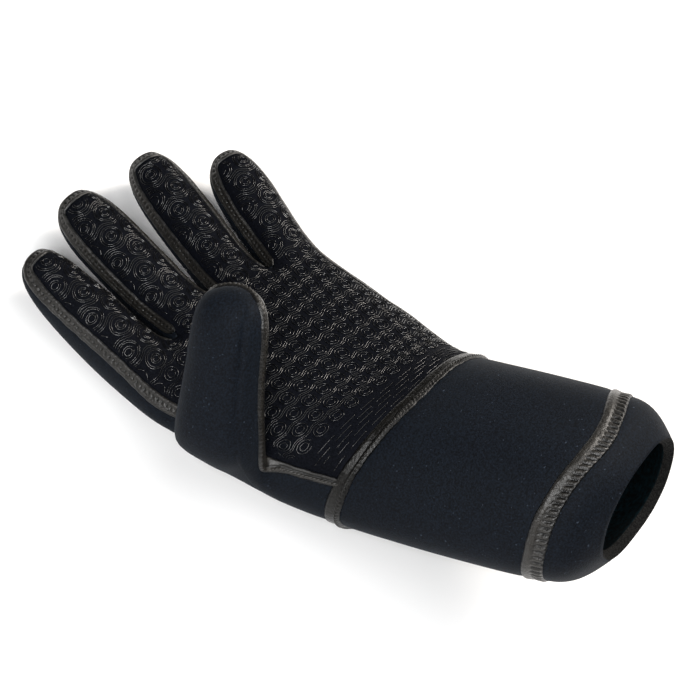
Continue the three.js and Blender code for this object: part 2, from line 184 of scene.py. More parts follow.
@dataclass
class GloveForm:
    """The form of the whole glove, from the same sizes as the solids."""

    columns: int = 3
    level: int = 3
    wall: float = 4.6
    spine: tuple[tuple[float, float, float], ...] = (
        (-110, -8.5, 0),
        (-14, -8.5, 0),
        (30, 16.5, 13),
        (60, 14, 11),
        (103, 11, 9),
        (150, 11, 9),
    )
    hand: tuple[Section, ...] = (
        Section(0, 48.5, 49.5, 31, 34, 13, 0),
        Section(27, 56, 53.7, 27, 33.6, 7, 0),
        Section(45, 57, 55.2, 22.5, 29.5, 4, 0),
        Section(62, 55.5, 54.8, 17, 25.5, 2, 0),
        Section(80, 55.5, 55, 13, 22.5, 0.6, 0),
        Section(103, 58.5, 55, 10, 22, 0, 0),
    )
    cuff: tuple[Section, ...] = (
        Section(-40, 45.6, 47, 34.6, 34.5, 5.5, 1.5),
        Section(-75.5, 44.7, 45.5, 33.5, 34, 3, 3),
    )
    cuff_end: tuple[Section, ...] = (
        Section(-90, 42.6, 43.4, 32.7, 31.8, 3.7, 3.2),
        Section(-100.5, 28.7, 29.6, 21.8, 21.3, 4.5, 2.5),
    )
    palm_hollow: float = 3.3
    edge_drop: tuple[float, float] = (0.55, 0.92)
    under_drop: tuple[float, float] = (0.42, 0.14)
    knuckles: tuple[tuple[float, float], ...] = ((-58.5, 93), (-29.5, 106), (-0.5, 106), (27.5, 98), (55, 87))
    fingers: tuple[Finger, ...] = (
        Finger("index", 75.5, 2.6, 9, 3.5, 12.6, 1.45, -5, 0),
        Finger("middle", 78.5, 7.1, 10, 2.5, 13.8, 0.95, 6, 0),
        Finger("ring", 77.5, 16.4, 7, 4, 12.7, 0.9, 8, 1),
        Finger("little", 62, 19.8, 9.5, 3.5, 12.3, 0.95, 0, 0.5),
    )
    finger_crown: float = 7.5
    finger_depth: float = 15.5
    finger_stations: tuple[tuple[float, float, float, float], ...] = (
        (0.18, 0.9, 1, 1),
        (0.55, 1, 1, 0.5),
        (0.86, 0.93, 0.9, 0),
        (1, 0.58, 0.58, 0),
    )
    thumb: Thumb = Thumb()
    tip_bulge: float = 2.5
    digit_ring: tuple[tuple[float, float], ...] = (
        (-1.04, 0),
        (-0.44, 1),
        (0.44, 1),
        (1.04, 0),
        (1.14, -0.5),
        (0.83, -0.98),
        (0.29, -1.12),
        (-0.29, -1.12),
        (-0.83, -0.98),
        (-1.14, -0.5),
    )
    bend_steps: int = 4  # steps of a digit's centre line from one station to the next
    flank: float = 1.07  # the sides bulge by this share past the half widths
    thumb_flat: float = -150.0  # the thumb's pattern lies apart from the palm's, and has no print
    rest_pitch: float = 21.0
    rest_roll: float = 6.0
    sink: float = 1.8
    reach: int = 150
    # Bow of the cuff seam: how far it slides, and its middle and half width as shares of the way round
    bow: float = 13.0
    bow_at: float = 0.2
    bow_width: float = 0.2
    cage: list[Points] = field(default_factory=list)
    flat: list[tuple[float, float]] = field(default_factory=list)
    nets: Nets = field(default_factory=dict)
    line: dict[int, Points] = field(default_factory=dict)
    shift: Points = field(default_factory=lambda: np.zeros(3))

    @property
    def across(self) -> int:
        """Quads across the palm in the cage."""
        return 4 * self.columns

    def add(self, point: Points, flat: tuple[float, float] = (0.0, 0.0)) -> int:
        """Add a cage point.

        Args:
            point: Where it is.
            flat: Its place on the flattened pattern.

        Returns:
            Its number.
        """
        self.cage.append(np.array(point, float))
        self.flat.append(flat)
        return len(self.cage) - 1

    def angles(self, along: float) -> tuple[float, float]:
        """Rise and swing of the centre line.

        Args:
            along: Distance along it.

        Returns:
            Both angles in radians.
        """
        for low, high in zip(self.spine, self.spine[1:]):
            if along <= high[0]:
                break
        t = smooth((along - low[0]) / (high[0] - low[0]))
        return math.radians(mix(low[1], high[1], t)), math.radians(mix(low[2], high[2], t))

    def walk_line(self) -> None:
        """Lay the centre line in steps of one mm both ways from the wrist."""
        self.line[0] = np.zeros(3)
        for way in (1, -1):
            p = np.zeros(3)
            for i in range(self.reach):
                p = p + way * axes(*self.angles(way * (i + 0.5)))[0]
                self.line[way * (i + 1)] = p

    def place(self, across: float, along: float, out: float) -> Points:
        """Find a point from its place beside the bent centre line.

        Args:
            across: Towards the little finger.
            along: Along the line.
            out: Out of the palm.

        Returns:
            The point.
        """
        step = math.floor(along)
        p = self.line[step] + (self.line[step + 1] - self.line[step]) * (along - step)
        _, side, up = axes(*self.angles(along))
        return p + side * across + up * out

    def section(self, row: Section, share: float = 0.0) -> dict[str, list[int] | int]:
        """One ring of the cage round the hand or cuff.

        Args:
            row: Its sizes.
            share: 0 at the wrist, 1 at the knuckles.

        Returns:
            Point numbers of the top and under rows, and of the points at the little and thumb side.
        """
        top: list[int] = []
        under: list[int] = []
        span = self.knuckles[4][0] - self.knuckles[0][0]
        drop = mix(*self.edge_drop, share)
        ends = []
        for j in range(self.across + 1):
            finger = min(j // self.columns, 3)
            part = j / self.columns - finger
            knee = [mix(self.knuckles[finger][k], self.knuckles[finger + 1][k], part) for k in (0, 1)]
            even = 2 * j / self.across - 1
            x = mix(0.9 * even, (knee[0] - self.knuckles[0][0]) / span * 2 - 1, share)
            across = (row.little_side - row.thumb_side) / 2 + x * (row.little_side + row.thumb_side) / 2
            at = row.along + (knee[1] - self.hand[5].along) * share * share
            hollow = max(0, 1 - (x / 0.7) ** 2) * math.sin(math.pi * min(1, share * 1.1))
            high = row.crown * (1 - abs(even) ** 3 * drop) - self.palm_hollow * hollow
            edge_tuck = 0.94 if j == 0 and share > 0 else mix(0.95, 0.84, share)
            tuck = edge_tuck if j in (0, self.across) else 0.97
            low = -row.depth * (1 - abs(even) ** 3 * mix(*self.under_drop, share))
            flat = (across, at)
            lean = row.lean / row.depth
            top.append(self.add(self.place(across, at - row.skew * x - lean * high, high), flat))
            under.append(self.add(self.place(across * tuck, at - row.skew * x - lean * low, low), flat))
            ends.append(at)
        flank = -(0.15 + 0.3 * share)
        sag = row.lean * flank
        little = self.place(row.little_side * self.flank, ends[-1] - row.skew * 0.95 - sag, row.depth * flank)
        thumb = self.place(-row.thumb_side * self.flank, ends[0] + row.skew * 0.95 - sag, row.depth * flank)
        return {
            "top": top,
            "under": under,
            "little": self.add(little, (row.little_side, ends[-1])),
            "thumb": self.add(thumb, (-row.thumb_side, ends[0])),
        }

    def digit_ring_at(self, centre: Points, at: tuple[Points, Points, Points], half: float, crown: float,
                      depth: float, flat: tuple[float, float]) -> list[int]:
        """Ring of cage points round a digit.

        Args:
            centre: Middle of the ring.
            at: Directions along, across and out.
            half: Half width.
            crown: Height on the palm side.
            depth: Depth on the back side.
            flat: The ring's middle on the flattened pattern.

        Returns:
            The numbers of its points.
        """
        ring = []
        for x, z in self.digit_ring:
            p = centre + at[1] * x * half + at[2] * z * (crown if z > 0 else depth)
            ring.append(self.add(p, (flat[0] + x * half, flat[1])))
        return ring

    def digit(self, name: str, rings: list[list[int]], push: Points) -> None:
        """Store the patches of a digit and close its tip.

        Args:
            name: The digit.
            rings: Its rings of points, from the root to the tip.
            push: How far the tip bulges.
        """
        k = self.columns
        r = np.array(rings)
        self.nets[f"{name}_top"] = r[:, :k + 1]
        self.nets[f"{name}_right"] = r[:, k:k + 3]
        self.nets[f"{name}_under"] = r[:, k + 2:2 * k + 3]
        self.nets[f"{name}_left"] = np.stack([r[:, 2 * k + 2], r[:, 2 * k + 3], r[:, 0]], 1)
        tip = r[-1]
        top = tip[:k + 1]
        under = tip[k + 2:2 * k + 3][::-1]
        between = [
            self.add((self.cage[top[i]] + self.cage[under[i]]) / 2 + push, self.flat[top[i]])
            for i in range(1, k)
        ]
        self.nets[f"{name}_cap"] = np.array([list(top), [tip[2 * k + 3], *between, tip[k + 1]], list(under)])

    def build_finger(self, number: int, finger: Finger, last: dict, webs: list[int]) -> None:
        """Add one finger to the cage.

        Args:
            number: 0 for the index finger to 3 for the little finger.
            finger: Its sizes.
            last: The hand's section at the knuckles.
            webs: The points between the fingers.
        """
        j0 = number * self.columns
        j1 = j0 + self.columns
        right = last["little"] if number == 3 else webs[number]
        left = last["thumb"] if number == 0 else webs[number - 1]
        rings = [[*last["top"][j0:j1 + 1], right, *last["under"][j0:j1 + 1][::-1], left]]
        low, high = self.knuckles[number], self.knuckles[number + 1]
        root = ((low[0] + high[0]) / 2 + finger.shift, (low[1] + high[1]) / 2)
        rise0, swing0 = self.angles(root[1])
        centre = self.place(root[0], root[1], 0)
        swing = swing0 + math.radians(finger.fan)
        done = 0.0
        at = axes(rise0, swing)
        for share, wide, deep, back in self.finger_stations:
            for q in range(self.bend_steps):
                step = (share - done) / self.bend_steps
                rise = rise0 + math.radians(finger.rise + finger.curl * (done + step * (q + 0.5)))
                centre = centre + axes(rise, swing)[0] * finger.length * step
            rise = rise0 + math.radians(finger.rise + finger.curl * share)
            at = axes(rise, swing, math.radians(finger.roll))
            depth = self.finger_depth * deep * (1 + (finger.bulge - 1) * back)
            flat = (root[0], root[1] + share * finger.length)
            half = finger.half * wide
            rings.append(self.digit_ring_at(centre, at, half, self.finger_crown * deep, depth, flat))
            done = share
        self.digit(finger.name, rings, at[0] * self.tip_bulge)

    def build_thumb(self, hand: list[dict]) -> None:
        """Add the thumb to the cage, out of the hole in the thumb side of the hand.

        Args:
            hand: The hand's sections.
        """
        thumb = self.thumb
        low, high = thumb.rows
        roots = hand[low:high + 1]
        base = [s["top"][0] for s in roots]
        base += [hand[high]["thumb"], *[s["under"][0] for s in roots][::-1], hand[low]["thumb"]]
        slope = math.radians(thumb.slope)

        def turned(share: float) -> tuple[Points, Points, Points]:
            """Directions of the thumb.

            Args:
                share: Place along it as a share of its length.

            Returns:
                Unit vectors along, across and out.
            """
            lean = math.radians(mix(thumb.lean_base, thumb.lean_tip, smooth(share / thumb.bend_end)))
            level = math.cos(slope)
            along = np.array([-math.cos(lean) * level, math.sin(slope), math.sin(lean) * level])
            out = np.array([math.sin(lean), 0, math.cos(lean)])
            return along, np.cross(along, out), out

        first, last = self.hand[low], self.hand[high]
        side = (first.thumb_side + last.thumb_side) / 2
        centre = self.place(-side, (first.along + last.along) / 2, -thumb.drop)
        rings = [base]
        done = 0.0
        at = turned(0.0)
        for share, wide, deep in thumb.stations:
            for q in range(self.bend_steps):
                step = (share - done) / self.bend_steps
                centre = centre + turned(done + step * (q + 0.5))[0] * thumb.length * step
            at = turned(share)
            flat = (self.thumb_flat, share * thumb.length)
            half = thumb.half * wide
            rings.append(self.digit_ring_at(centre, at, half, thumb.crown * deep, thumb.depth * deep, flat))
            done = share
        self.digit("thumb", rings, at[0] * self.tip_bulge)

    def build_cage(self) -> None:
        """Build the cage of the whole glove."""
        self.walk_line()
        hand = [self.section(row, row.along / self.hand[5].along) for row in self.hand]
        cuff = [self.section(row) for row in self.cuff]
        end = [self.section(row) for row in self.cuff_end]
        last = hand[5]

        def closed(s: dict) -> list[int]:
            """The points of a section as a closed ring."""
            ring = [*s["top"], s["little"], *s["under"][::-1], s["thumb"]]
            return [*ring, ring[0]]

        nets = self.nets
        nets["palm_top"] = np.array([s["top"] for s in hand])
        nets["palm_under"] = np.array([s["under"][::-1] for s in hand])
        nets["side_right"] = np.array([[s["top"][-1], s["little"], s["under"][-1]] for s in hand])
        left = [[s["under"][0], s["thumb"], s["top"][0]] for s in hand]
        low, high = self.thumb.rows
        nets["side_left_low"] = np.array(left[:low + 1])
        nets["side_left_high"] = np.array(left[high:])
        nets["cuff"] = np.array([closed(s) for s in [hand[0], *cuff]][::-1])
        nets["cuff_end"] = np.array([closed(s) for s in [cuff[1], *end]][::-1])
        webs = []
        for j in (self.columns, 2 * self.columns, 3 * self.columns):
            middle = (self.cage[last["top"][j]] + self.cage[last["under"][j]]) / 2
            webs.append(self.add(middle, self.flat[last["top"][j]]))
        for number, finger in enumerate(self.fingers):
            self.build_finger(number, finger, last, webs)
        self.build_thumb(hand)

    def turn(self, points: Points) -> Points:
        """Turn places into the way the glove balances on its back.

        Args:
            points: Rows of x, y and z.

        Returns:
            The turned rows.
        """
        pitch = Matrix.Rotation(-math.radians(self.rest_pitch), 3, "X")
        roll = Matrix.Rotation(math.radians(self.rest_roll), 3, "Y")
        return points @ np.array(roll @ pitch).T

    def build(self) -> tuple[Points, Nets]:
        """Build, smooth and lay down the glove.

        Returns:
            Rows of x, y, z and the place on the flattened pattern, and the nets of point numbers.
        """
        self.build_cage()
        points = np.concatenate([np.array(self.cage), np.array(self.flat, float)], 1)
        nets = self.nets
        for level in range(self.level):
            points, nets = smoothed(points, nets)
            if level == 0:
                self.shift = self.seat(points, nets)
        points[:, :3] = self.turn(points[:, :3]) + self.shift
        self.bend_cuff_seam(points, nets)
        return points, nets

    def bend_cuff_seam(self, points: Points, nets: Nets) -> None:
        """Slide the cuff seam along the skin towards the mouth, most on the palm side, as it is sewn.

        Args:
            points: Rows of the glove's points, which move.
            nets: Nets of the cuff and its end.
        """
        end, cuff = nets["cuff_end"], nets["cuff"]
        moved = points[:, :3].copy()
        count = end.shape[1] - 1
        for k in range(count):
            column = np.concatenate([end[:, k], cuff[1:, k]])
            path = points[column, :3]
            run = np.concatenate([[0], np.cumsum(np.linalg.norm(np.diff(path, axis=0), axis=1))])
            seam = run[len(end) - 1]
            far = (k / count - self.bow_at + 0.5) % 1 - 0.5
            new = seam - self.bow * math.exp(-((far / self.bow_width) ** 2))
            after = new + (run - seam) * (run[-1] - new) / (run[-1] - seam)
            at = np.where(run < seam, run * new / seam, after)
            moved[column] = np.stack([np.interp(at, run, c) for c in path.T], 1)
        points[:, :3] = moved

    def seat(self, points: Points, nets: Nets) -> Points:
        """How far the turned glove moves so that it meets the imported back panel.

        Args:
            points: The points after one round of smoothing, as in the solids.
            nets: Their nets.

        Returns:
            The move in mm.
        """
        turned = self.turn(points[:, :3])
        back = np.unique(np.concatenate([nets[n].ravel() for n in back_names(nets)]))
        used = np.unique(np.concatenate([g.ravel() for g in nets.values()]))
        low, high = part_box("back_panel")
        return np.array([
            low.x / MM - turned[back, 0].min(),
            high.y / MM - turned[back, 1].max(),
            -turned[used, 2].min() - self.sink,
        ])


def back_names(nets: Nets) -> list[str]:
    """Names of the nets that make the back panel."""
    return [n for n in nets if not n.endswith("_top") and not n.startswith("cuff")]


def palm_names(nets: Nets) -> list[str]:
    """Names of the nets that make the palm panel."""
    return [n for n in nets if n.endswith("_top")]


def quads_of(net: np.ndarray) -> np.ndarray:
    """The quads of a net as rows of four point numbers."""
    corners = [net[:-1, :-1], net[:-1, 1:], net[1:, 1:], net[1:, :-1]]
    return np.stack(corners, -1).reshape(-1, 4)


def smoothed(points: Points, nets: Nets) -> tuple[Points, Nets]:
    """One round of smoothing: each quad becomes four and the corners are averaged.

    Args:
        points: Rows of values.
        nets: Nets of point numbers that share points where they meet.

    Returns:
        The finer points and nets.
    """
    blocks = {n: quads_of(g) for n, g in nets.items()}
    quads = np.concatenate(list(blocks.values()))
    centres = points[quads].mean(1)
    sides = np.sort(np.stack([quads, np.roll(quads, -1, 1)], -1).reshape(-1, 2), 1)
    edges, where, uses = np.unique(sides, axis=0, return_inverse=True, return_counts=True)
    where = where.reshape(-1)
    count, edge_count = len(points), len(edges)
    face_sum = np.zeros((edge_count, points.shape[1]))
    np.add.at(face_sum, where, centres[np.repeat(np.arange(len(quads)), 4)])
    middles = points[edges].mean(1)
    inner = uses == 2
    edge_points = np.where(inner[:, None], (middles * 2 + face_sum) / 4, middles)
    sums = np.zeros_like(points)
    faces = np.zeros_like(points)
    valence = np.zeros(count)
    for k in (0, 1):
        np.add.at(valence, edges[:, k], 1)
        np.add.at(sums, edges[:, k], middles)
    np.add.at(faces, quads.reshape(-1), np.repeat(centres, 4, 0))
    around = np.bincount(quads.reshape(-1), minlength=count).astype(float)
    n = np.maximum(valence, 1)[:, None]
    corners = (faces / np.maximum(around, 1)[:, None] + 2 * sums / n + (n - 3) * points) / n
    rim = edges[~inner]
    rim_sum = np.zeros_like(points)
    on_rim = np.zeros(count, bool)
    for k in (0, 1):
        np.add.at(rim_sum, rim[:, k], points[rim[:, 1 - k]])
        on_rim[rim[:, k]] = True
    corners[on_rim] = (6 * points[on_rim] + rim_sum[on_rim]) / 8
    codes = edges[:, 0] * count + edges[:, 1]

    def middle_of(a: np.ndarray, b: np.ndarray) -> np.ndarray:
        """Numbers of the new points on the edges from a to b."""
        return np.searchsorted(codes, np.minimum(a, b) * count + np.maximum(a, b)) + count

    finer = {}
    start = count + edge_count
    for name, net in nets.items():
        rows, cols = net.shape
        grid = np.zeros((2 * rows - 1, 2 * cols - 1), int)
        grid[::2, ::2] = net
        grid[::2, 1::2] = middle_of(net[:, :-1], net[:, 1:])
        grid[1::2, ::2] = middle_of(net[:-1], net[1:])
        size = (rows - 1) * (cols - 1)
        grid[1::2, 1::2] = (start + np.arange(size)).reshape(rows - 1, cols - 1)
        start += size
        finer[name] = grid
    return np.concatenate([corners, edge_points, centres]), finer


def normals_of(points: Points, nets: Nets) -> Points:
    """Find the normals of points.

    Args:
        points: Rows of the glove's points.
        nets: Their nets.

    Returns:
        A unit vector for each point of the nets, and near zero for any other.
    """
    sums = np.zeros((len(points), 3))
    for net in nets.values():
        quads = quads_of(net)
        corner = points[:, :3][quads]
        face = np.cross(corner[:, 2] - corner[:, 0], corner[:, 3] - corner[:, 1])
        for k in range(4):
            np.add.at(sums, quads[:, k], face)
    return sums / np.maximum(np.linalg.norm(sums, axis=1), 1e-9)[:, None]


@dataclass
class SeamMap:
    """The seam lines of the glove. Each point has its walk over the palm panel and over the back panel."""

    nets: Nets
    level: int

    def left_edge(self, top: np.ndarray, side: np.ndarray) -> list[Walk]:
        """Walks from the left edge of a top net."""
        return [(list(row), list(side[r][::-1])) for r, row in enumerate(top)]

    def right_edge(self, top: np.ndarray, side: np.ndarray) -> list[Walk]:
        """Walks from the right edge of a top net, from its last row to its first."""
        return [(list(row[::-1]), list(side[r])) for r, row in enumerate(top)][::-1]

    def tip(self, name: str) -> list[Walk]:
        """Walk over the skin from each seam point along the tip of a digit.

        Args:
            name: The digit.

        Returns:
            The walks, from its left corner to its right one.
        """
        top, cap = self.nets[f"{name}_top"], self.nets[f"{name}_cap"]
        rows, cols = top.shape
        walks = []
        for j in range(cols):
            corner = j in (0, cols - 1)
            turn = 1 if j == 0 else -1 if j == cols - 1 else 0
            steps = range(cols // 2 if corner else rows)
            walks.append(([top[rows - 1 - k, j + turn * k] for k in steps], list(cap[:, j])))
        return walks

    def round(self, name: str) -> list[Walk]:
        """Walk over the skin from each seam point round a digit.

        Args:
            name: The digit.

        Returns:
            The walks, from its left root to its right root.
        """
        top = self.nets[f"{name}_top"]
        up = self.left_edge(top, self.nets[f"{name}_left"])[:-1]
        down = self.right_edge(top, self.nets[f"{name}_right"])[1:]
        return [*up, *self.tip(name), *down]

    def lines(self) -> dict[str, list[Walk]]:
        """Find all seam lines.

        Returns:
            Their walks by name; wrist and cuff are closed.
        """
        nets = self.nets
        palm, low, high = nets["palm_top"], nets["side_left_low"], nets["side_left_high"]
        rows = low.shape[0]
        start = self.left_edge(palm[:rows], low)
        miter = ([palm[rows - 1 + k, k] for k in range(2 ** self.level + 1)], start[-1][1])
        bridge = self.left_edge(palm[-high.shape[0]:], high)
        finish = self.right_edge(palm, nets["side_right"])
        right, under = nets["side_right"], nets["palm_under"]
        walks = [list(c) for c in palm.T]
        walks += [list(c) for c in right.T[1:-1]]
        walks += [list(c) for c in under.T]
        walks += [list(c) for c in low.T[1:-1]]
        cuff, end = nets["cuff"], nets["cuff_end"]
        return {
            "thumb": [*start[:-1], miter, *self.round("thumb")[1:]],
            "index": [*bridge[:-1], *self.round("index")],
            "middle": self.round("middle"),
            "ring": self.round("ring"),
            "little": [*self.round("little"), *finish[1:]],
            "wrist": [(walk, list(cuff[::-1, k])) for k, walk in enumerate(walks)][::-1],
            "cuff": [(list(cuff[:, k]), list(end[::-1, k])) for k in range(cuff.shape[1] - 1)][::-1],
        }


def nearest(places: Points, targets: Points) -> np.ndarray:
    """Measure how near the targets are.

    Args:
        places: Rows of x, y and z.
        targets: Rows of x, y and z.

    Returns:
        Distance from each place to the nearest target.
    """
    tree = kdtree.KDTree(len(targets))
    for i, t in enumerate(targets):
        tree.insert(t, i)
    tree.balance()
    return np.array([tree.find(p)[2] for p in places])


@dataclass
class FoamSkin:
    """The glove's outer skin with its soft shape: foam swells between the seams and has shallow folds."""

    form: GloveForm
    far: float = 99.0  # distance to a seam of a point that no net uses
    seam_dip: float = 0.9
    seam_reach: float = 3.6
    swell: float = 0.55
    swell_size: float = 34.0
    ripple: float = 0.16
    ripple_size: float = 7.5
    fold: float = 2.8
    fold_at: float = 12.5
    fold_width: float = 5.0
    points: Points = field(default_factory=lambda: np.zeros((0, 5)))
    nets: Nets = field(default_factory=dict)
    normals: Points = field(default_factory=lambda: np.zeros((0, 3)))
    seams: dict[str, list[Walk]] = field(default_factory=dict)
    margin: np.ndarray = field(default_factory=lambda: np.zeros(0))
    surface: BVHTree | None = None

    def build(self) -> None:
        """Shape the skin, and keep its points, nets, normals and distances to the seams."""
        self.points, self.nets = self.form.build()
        self.seams = SeamMap(self.nets, self.form.level).lines()
        used = np.unique(np.concatenate([g.ravel() for g in self.nets.values()]))
        normals = normals_of(self.points, self.nets)
        on_seam = np.unique([walk[0][0] for line in self.seams.values() for walk in line])
        self.margin = np.full(len(self.points), self.far)
        self.margin[used] = nearest(self.points[used, :3], self.points[on_seam, :3])
        at = self.points[used, :3]
        dip = self.seam_dip * np.exp(-((self.margin[used] / self.seam_reach) ** 2))
        swell = self.swell * noise_at(at, self.swell_size)
        near = np.exp(-((self.margin[used] / (2.5 * self.seam_reach)) ** 2))
        ripple = self.ripple * noise_at(at, self.ripple_size, SEED + 1) * near
        self.points[used, :3] += normals[used] * (swell + ripple - dip)[:, None]
        # A shallow fold along one side of the thumb's outer face, which fades towards the tip
        thumb = self.nets["thumb_under"]
        rows, cols = thumb.shape
        side = np.clip(np.arange(cols) * 2.5 / cols - 0.6, 0, 1)[None]
        length = np.clip((1 - np.arange(rows) / rows) * 3, 0, 1)[:, None]
        depth = self.fold * np.exp(-(((self.margin[thumb] - self.fold_at) / self.fold_width) ** 2))
        shift = (depth * side * side * (3 - 2 * side) * length)[:, :, None]
        self.points[thumb, :3] -= normals[thumb] * shift
        self.points[:, 2] = np.maximum(self.points[:, 2], 0.0)
        self.normals = normals_of(self.points, self.nets)
        quads = np.concatenate([quads_of(g) for g in self.nets.values()])
        self.surface = BVHTree.FromPolygons([tuple(p) for p in self.points[:, :3]], quads.tolist())


def make_object(name: str, verts: Points, faces: list[list[int]], finishes: list[bpy.types.Material],
                which: list[int] | None = None) -> bpy.types.Object:
    """Make a smooth-shaded mesh object.

    Args:
        name: The piece.
        verts: Rows of x, y, z in mm.
        faces: Point numbers of each face.
        finishes: Its materials.
        which: The material of each face, or none for the first.

    Returns:
        The object, linked to the scene.
    """
    mesh = bpy.data.meshes.new(name)
    mesh.from_pydata([tuple(p * MM) for p in verts], [], faces)
    for finish in finishes:
        mesh.materials.append(finish)
    if which is not None:
        mesh.polygons.foreach_set("material_index", which)
    mesh.polygons.foreach_set("use_smooth", [True] * len(faces))
    mesh.validate()
    mesh.update()
    piece = bpy.data.objects.new(name, mesh)
    bpy.context.scene.collection.objects.link(piece)
    return piece


def add_node(
    tree: Tree, kind: str, links: dict[str | int, object] | None = None, **settings: object
) -> bpy.types.Node:
    """Add a node with its settings and links.

    Args:
        tree: The node tree.
        kind: Blender's name of the node's type.
        links: Value or output socket for each input, by name or number.
        settings: Properties of the node.

    Returns:
        The node.
    """
    node = tree.nodes.new(kind)
    for key, value in settings.items():
        setattr(node, key, value)
    for key, value in (links or {}).items():
        if isinstance(value, Socket):
            tree.links.new(value, node.inputs[key])
        else:
            node.inputs[key].default_value = value
    return node


@dataclass(frozen=True)
class Finish:
    """What every finish has: a name, and a dress method that fills its shader."""

    name: str

    def material(self) -> bpy.types.Material:
        """Make the material and let the finish dress it.

        Returns:
            The material.
        """
        made = bpy.data.materials.new(self.name)
        made.use_nodes = True
        tree = made.node_tree
        tree.nodes.clear()
        shader = add_node(tree, "ShaderNodeBsdfPrincipled")
        add_node(tree, "ShaderNodeOutputMaterial", {"Surface": shader.outputs["BSDF"]})
        place = add_node(tree, "ShaderNodeTexCoord").outputs["Object"]
        self.dress(tree, shader.inputs, place)
        return made

    def dress(self, tree: Tree, into: Sockets, place: Socket) -> None:
        """Fill the shader; each finish has its own way.

        Args:
            tree: The material's nodes.
            into: The shader's sockets.
            place: Coordinates on the object, in metres.
        """
        raise NotImplementedError


@dataclass(frozen=True)
class KnitJersey(Finish):
    """Nylon jersey, knitted and bonded to foam."""

    # The knit gives a matt face with a fine grain, sparse pale fibres and a faint sheen at grazing light.
    ground: str = "#04060a"
    light: str = "#0e141c"
    fleck: str = "#2b323c"
    stitch: float = 0.8  # knit loops are 0.4 mm, and are drawn twice as coarse so that they show
    lint: float = 1.1  # loose fibres are thinner than 0.1 mm, and are drawn as specks that show
    patch: float = 22.0  # mm over which the nap turns
    ior: float = 1.53
    roughness: float = 0.72
    gloss: float = 0.08
    sheen: float = 0.03
    sheen_tint: str = "#8494a8"

    def dress(self, tree: Tree, into: Sockets, place: Socket) -> None:
        """Grain in colour and bump, fibres, and patches where the nap lies another way.

        Args:
            tree: The material's nodes.
            into: The shader's sockets.
            place: Coordinates on the object, in metres.
        """
        knit = {"Vector": place, "Scale": 1 / (self.stitch * MM), "Detail": 3.0, "Roughness": 0.6}
        grain = add_node(tree, "ShaderNodeTexNoise", knit).outputs["Fac"]
        part = add_node(tree, "ShaderNodeMapRange", {"Value": grain, "From Min": 0.38, "From Max": 0.64})
        colours = {0: part.outputs["Result"], 6: linear(self.ground), 7: linear(self.light)}
        base = add_node(tree, "ShaderNodeMix", colours, data_type="RGBA").outputs[2]
        lint = {"Vector": place, "Scale": 1 / (self.lint * MM), "Detail": 0.0}
        fibres = add_node(tree, "ShaderNodeTexNoise", lint).outputs["Fac"]
        few = add_node(tree, "ShaderNodeMapRange", {"Value": fibres, "From Min": 0.79, "From Max": 0.88})
        colours = {0: few.outputs["Result"], 6: base, 7: linear(self.fleck)}
        flecked = add_node(tree, "ShaderNodeMix", colours, data_type="RGBA").outputs[2]
        patches = {"Vector": place, "Scale": 1 / (self.patch * MM)}
        nap = add_node(tree, "ShaderNodeTexNoise", patches).outputs["Fac"]
        dim = add_node(tree, "ShaderNodeMapRange", {"Value": nap, "To Min": 0.8, "To Max": 1.2})
        tones = {0: flecked, "Scale": dim.outputs["Result"]}
        toned = add_node(tree, "ShaderNodeVectorMath", tones, operation="SCALE")
        relief = add_node(tree, "ShaderNodeBump", {"Height": grain, "Distance": 0.18 * MM, "Strength": 0.8})
        tree.links.new(toned.outputs["Vector"], into["Base Color"])
        tree.links.new(relief.outputs["Normal"], into["Normal"])
        into["Roughness"].default_value = self.roughness
        into["IOR"].default_value = self.ior
        into["Specular IOR Level"].default_value = self.gloss
        into["Sheen Weight"].default_value = self.sheen
        into["Sheen Roughness"].default_value = 0.45
        into["Sheen Tint"].default_value = linear(self.sheen_tint)


@dataclass(frozen=True)
class PrintedRubber(Finish):
    """Silicone rubber, screen-printed in raised lines."""

    # The rubber is black and glossy, so that the rounded lines show as thin highlights on the matt cloth.
    base: str = "#050505"
    ior: float = 1.43
    roughness: float = 0.17
    gloss: float = 1.0
    wear_and_painted_shading: float = 2.2  # mm between worn places
    grain: float = 0.9  # mm

    def dress(self, tree: Tree, into: Sockets, place: Socket) -> None:
        """Gloss that breaks up where the print is thin.

        Args:
            tree: The material's nodes.
            into: The shader's sockets.
            place: Coordinates on the object, in metres.
        """
        worn_scale = {"Vector": place, "Scale": 1 / (self.wear_and_painted_shading * MM), "Detail": 2.0}
        worn_and_painted_shading = add_node(tree, "ShaderNodeTexNoise", worn_scale).outputs["Fac"]
        uneven = {"Value": worn_and_painted_shading, "To Min": self.roughness - 0.12, "To Max": self.roughness + 0.22}
        grain_scale = {"Vector": place, "Scale": 1 / (self.grain * MM)}
        fine = add_node(tree, "ShaderNodeTexNoise", grain_scale).outputs["Fac"]
        relief = add_node(tree, "ShaderNodeBump", {"Height": fine, "Distance": 0.1 * MM, "Strength": 0.7})
        tree.links.new(add_node(tree, "ShaderNodeMapRange", uneven).outputs["Result"], into["Roughness"])
        tree.links.new(relief.outputs["Normal"], into["Normal"])
        into["Base Color"].default_value = linear(self.base)
        into["IOR"].default_value = self.ior
        into["Specular IOR Level"].default_value = self.gloss


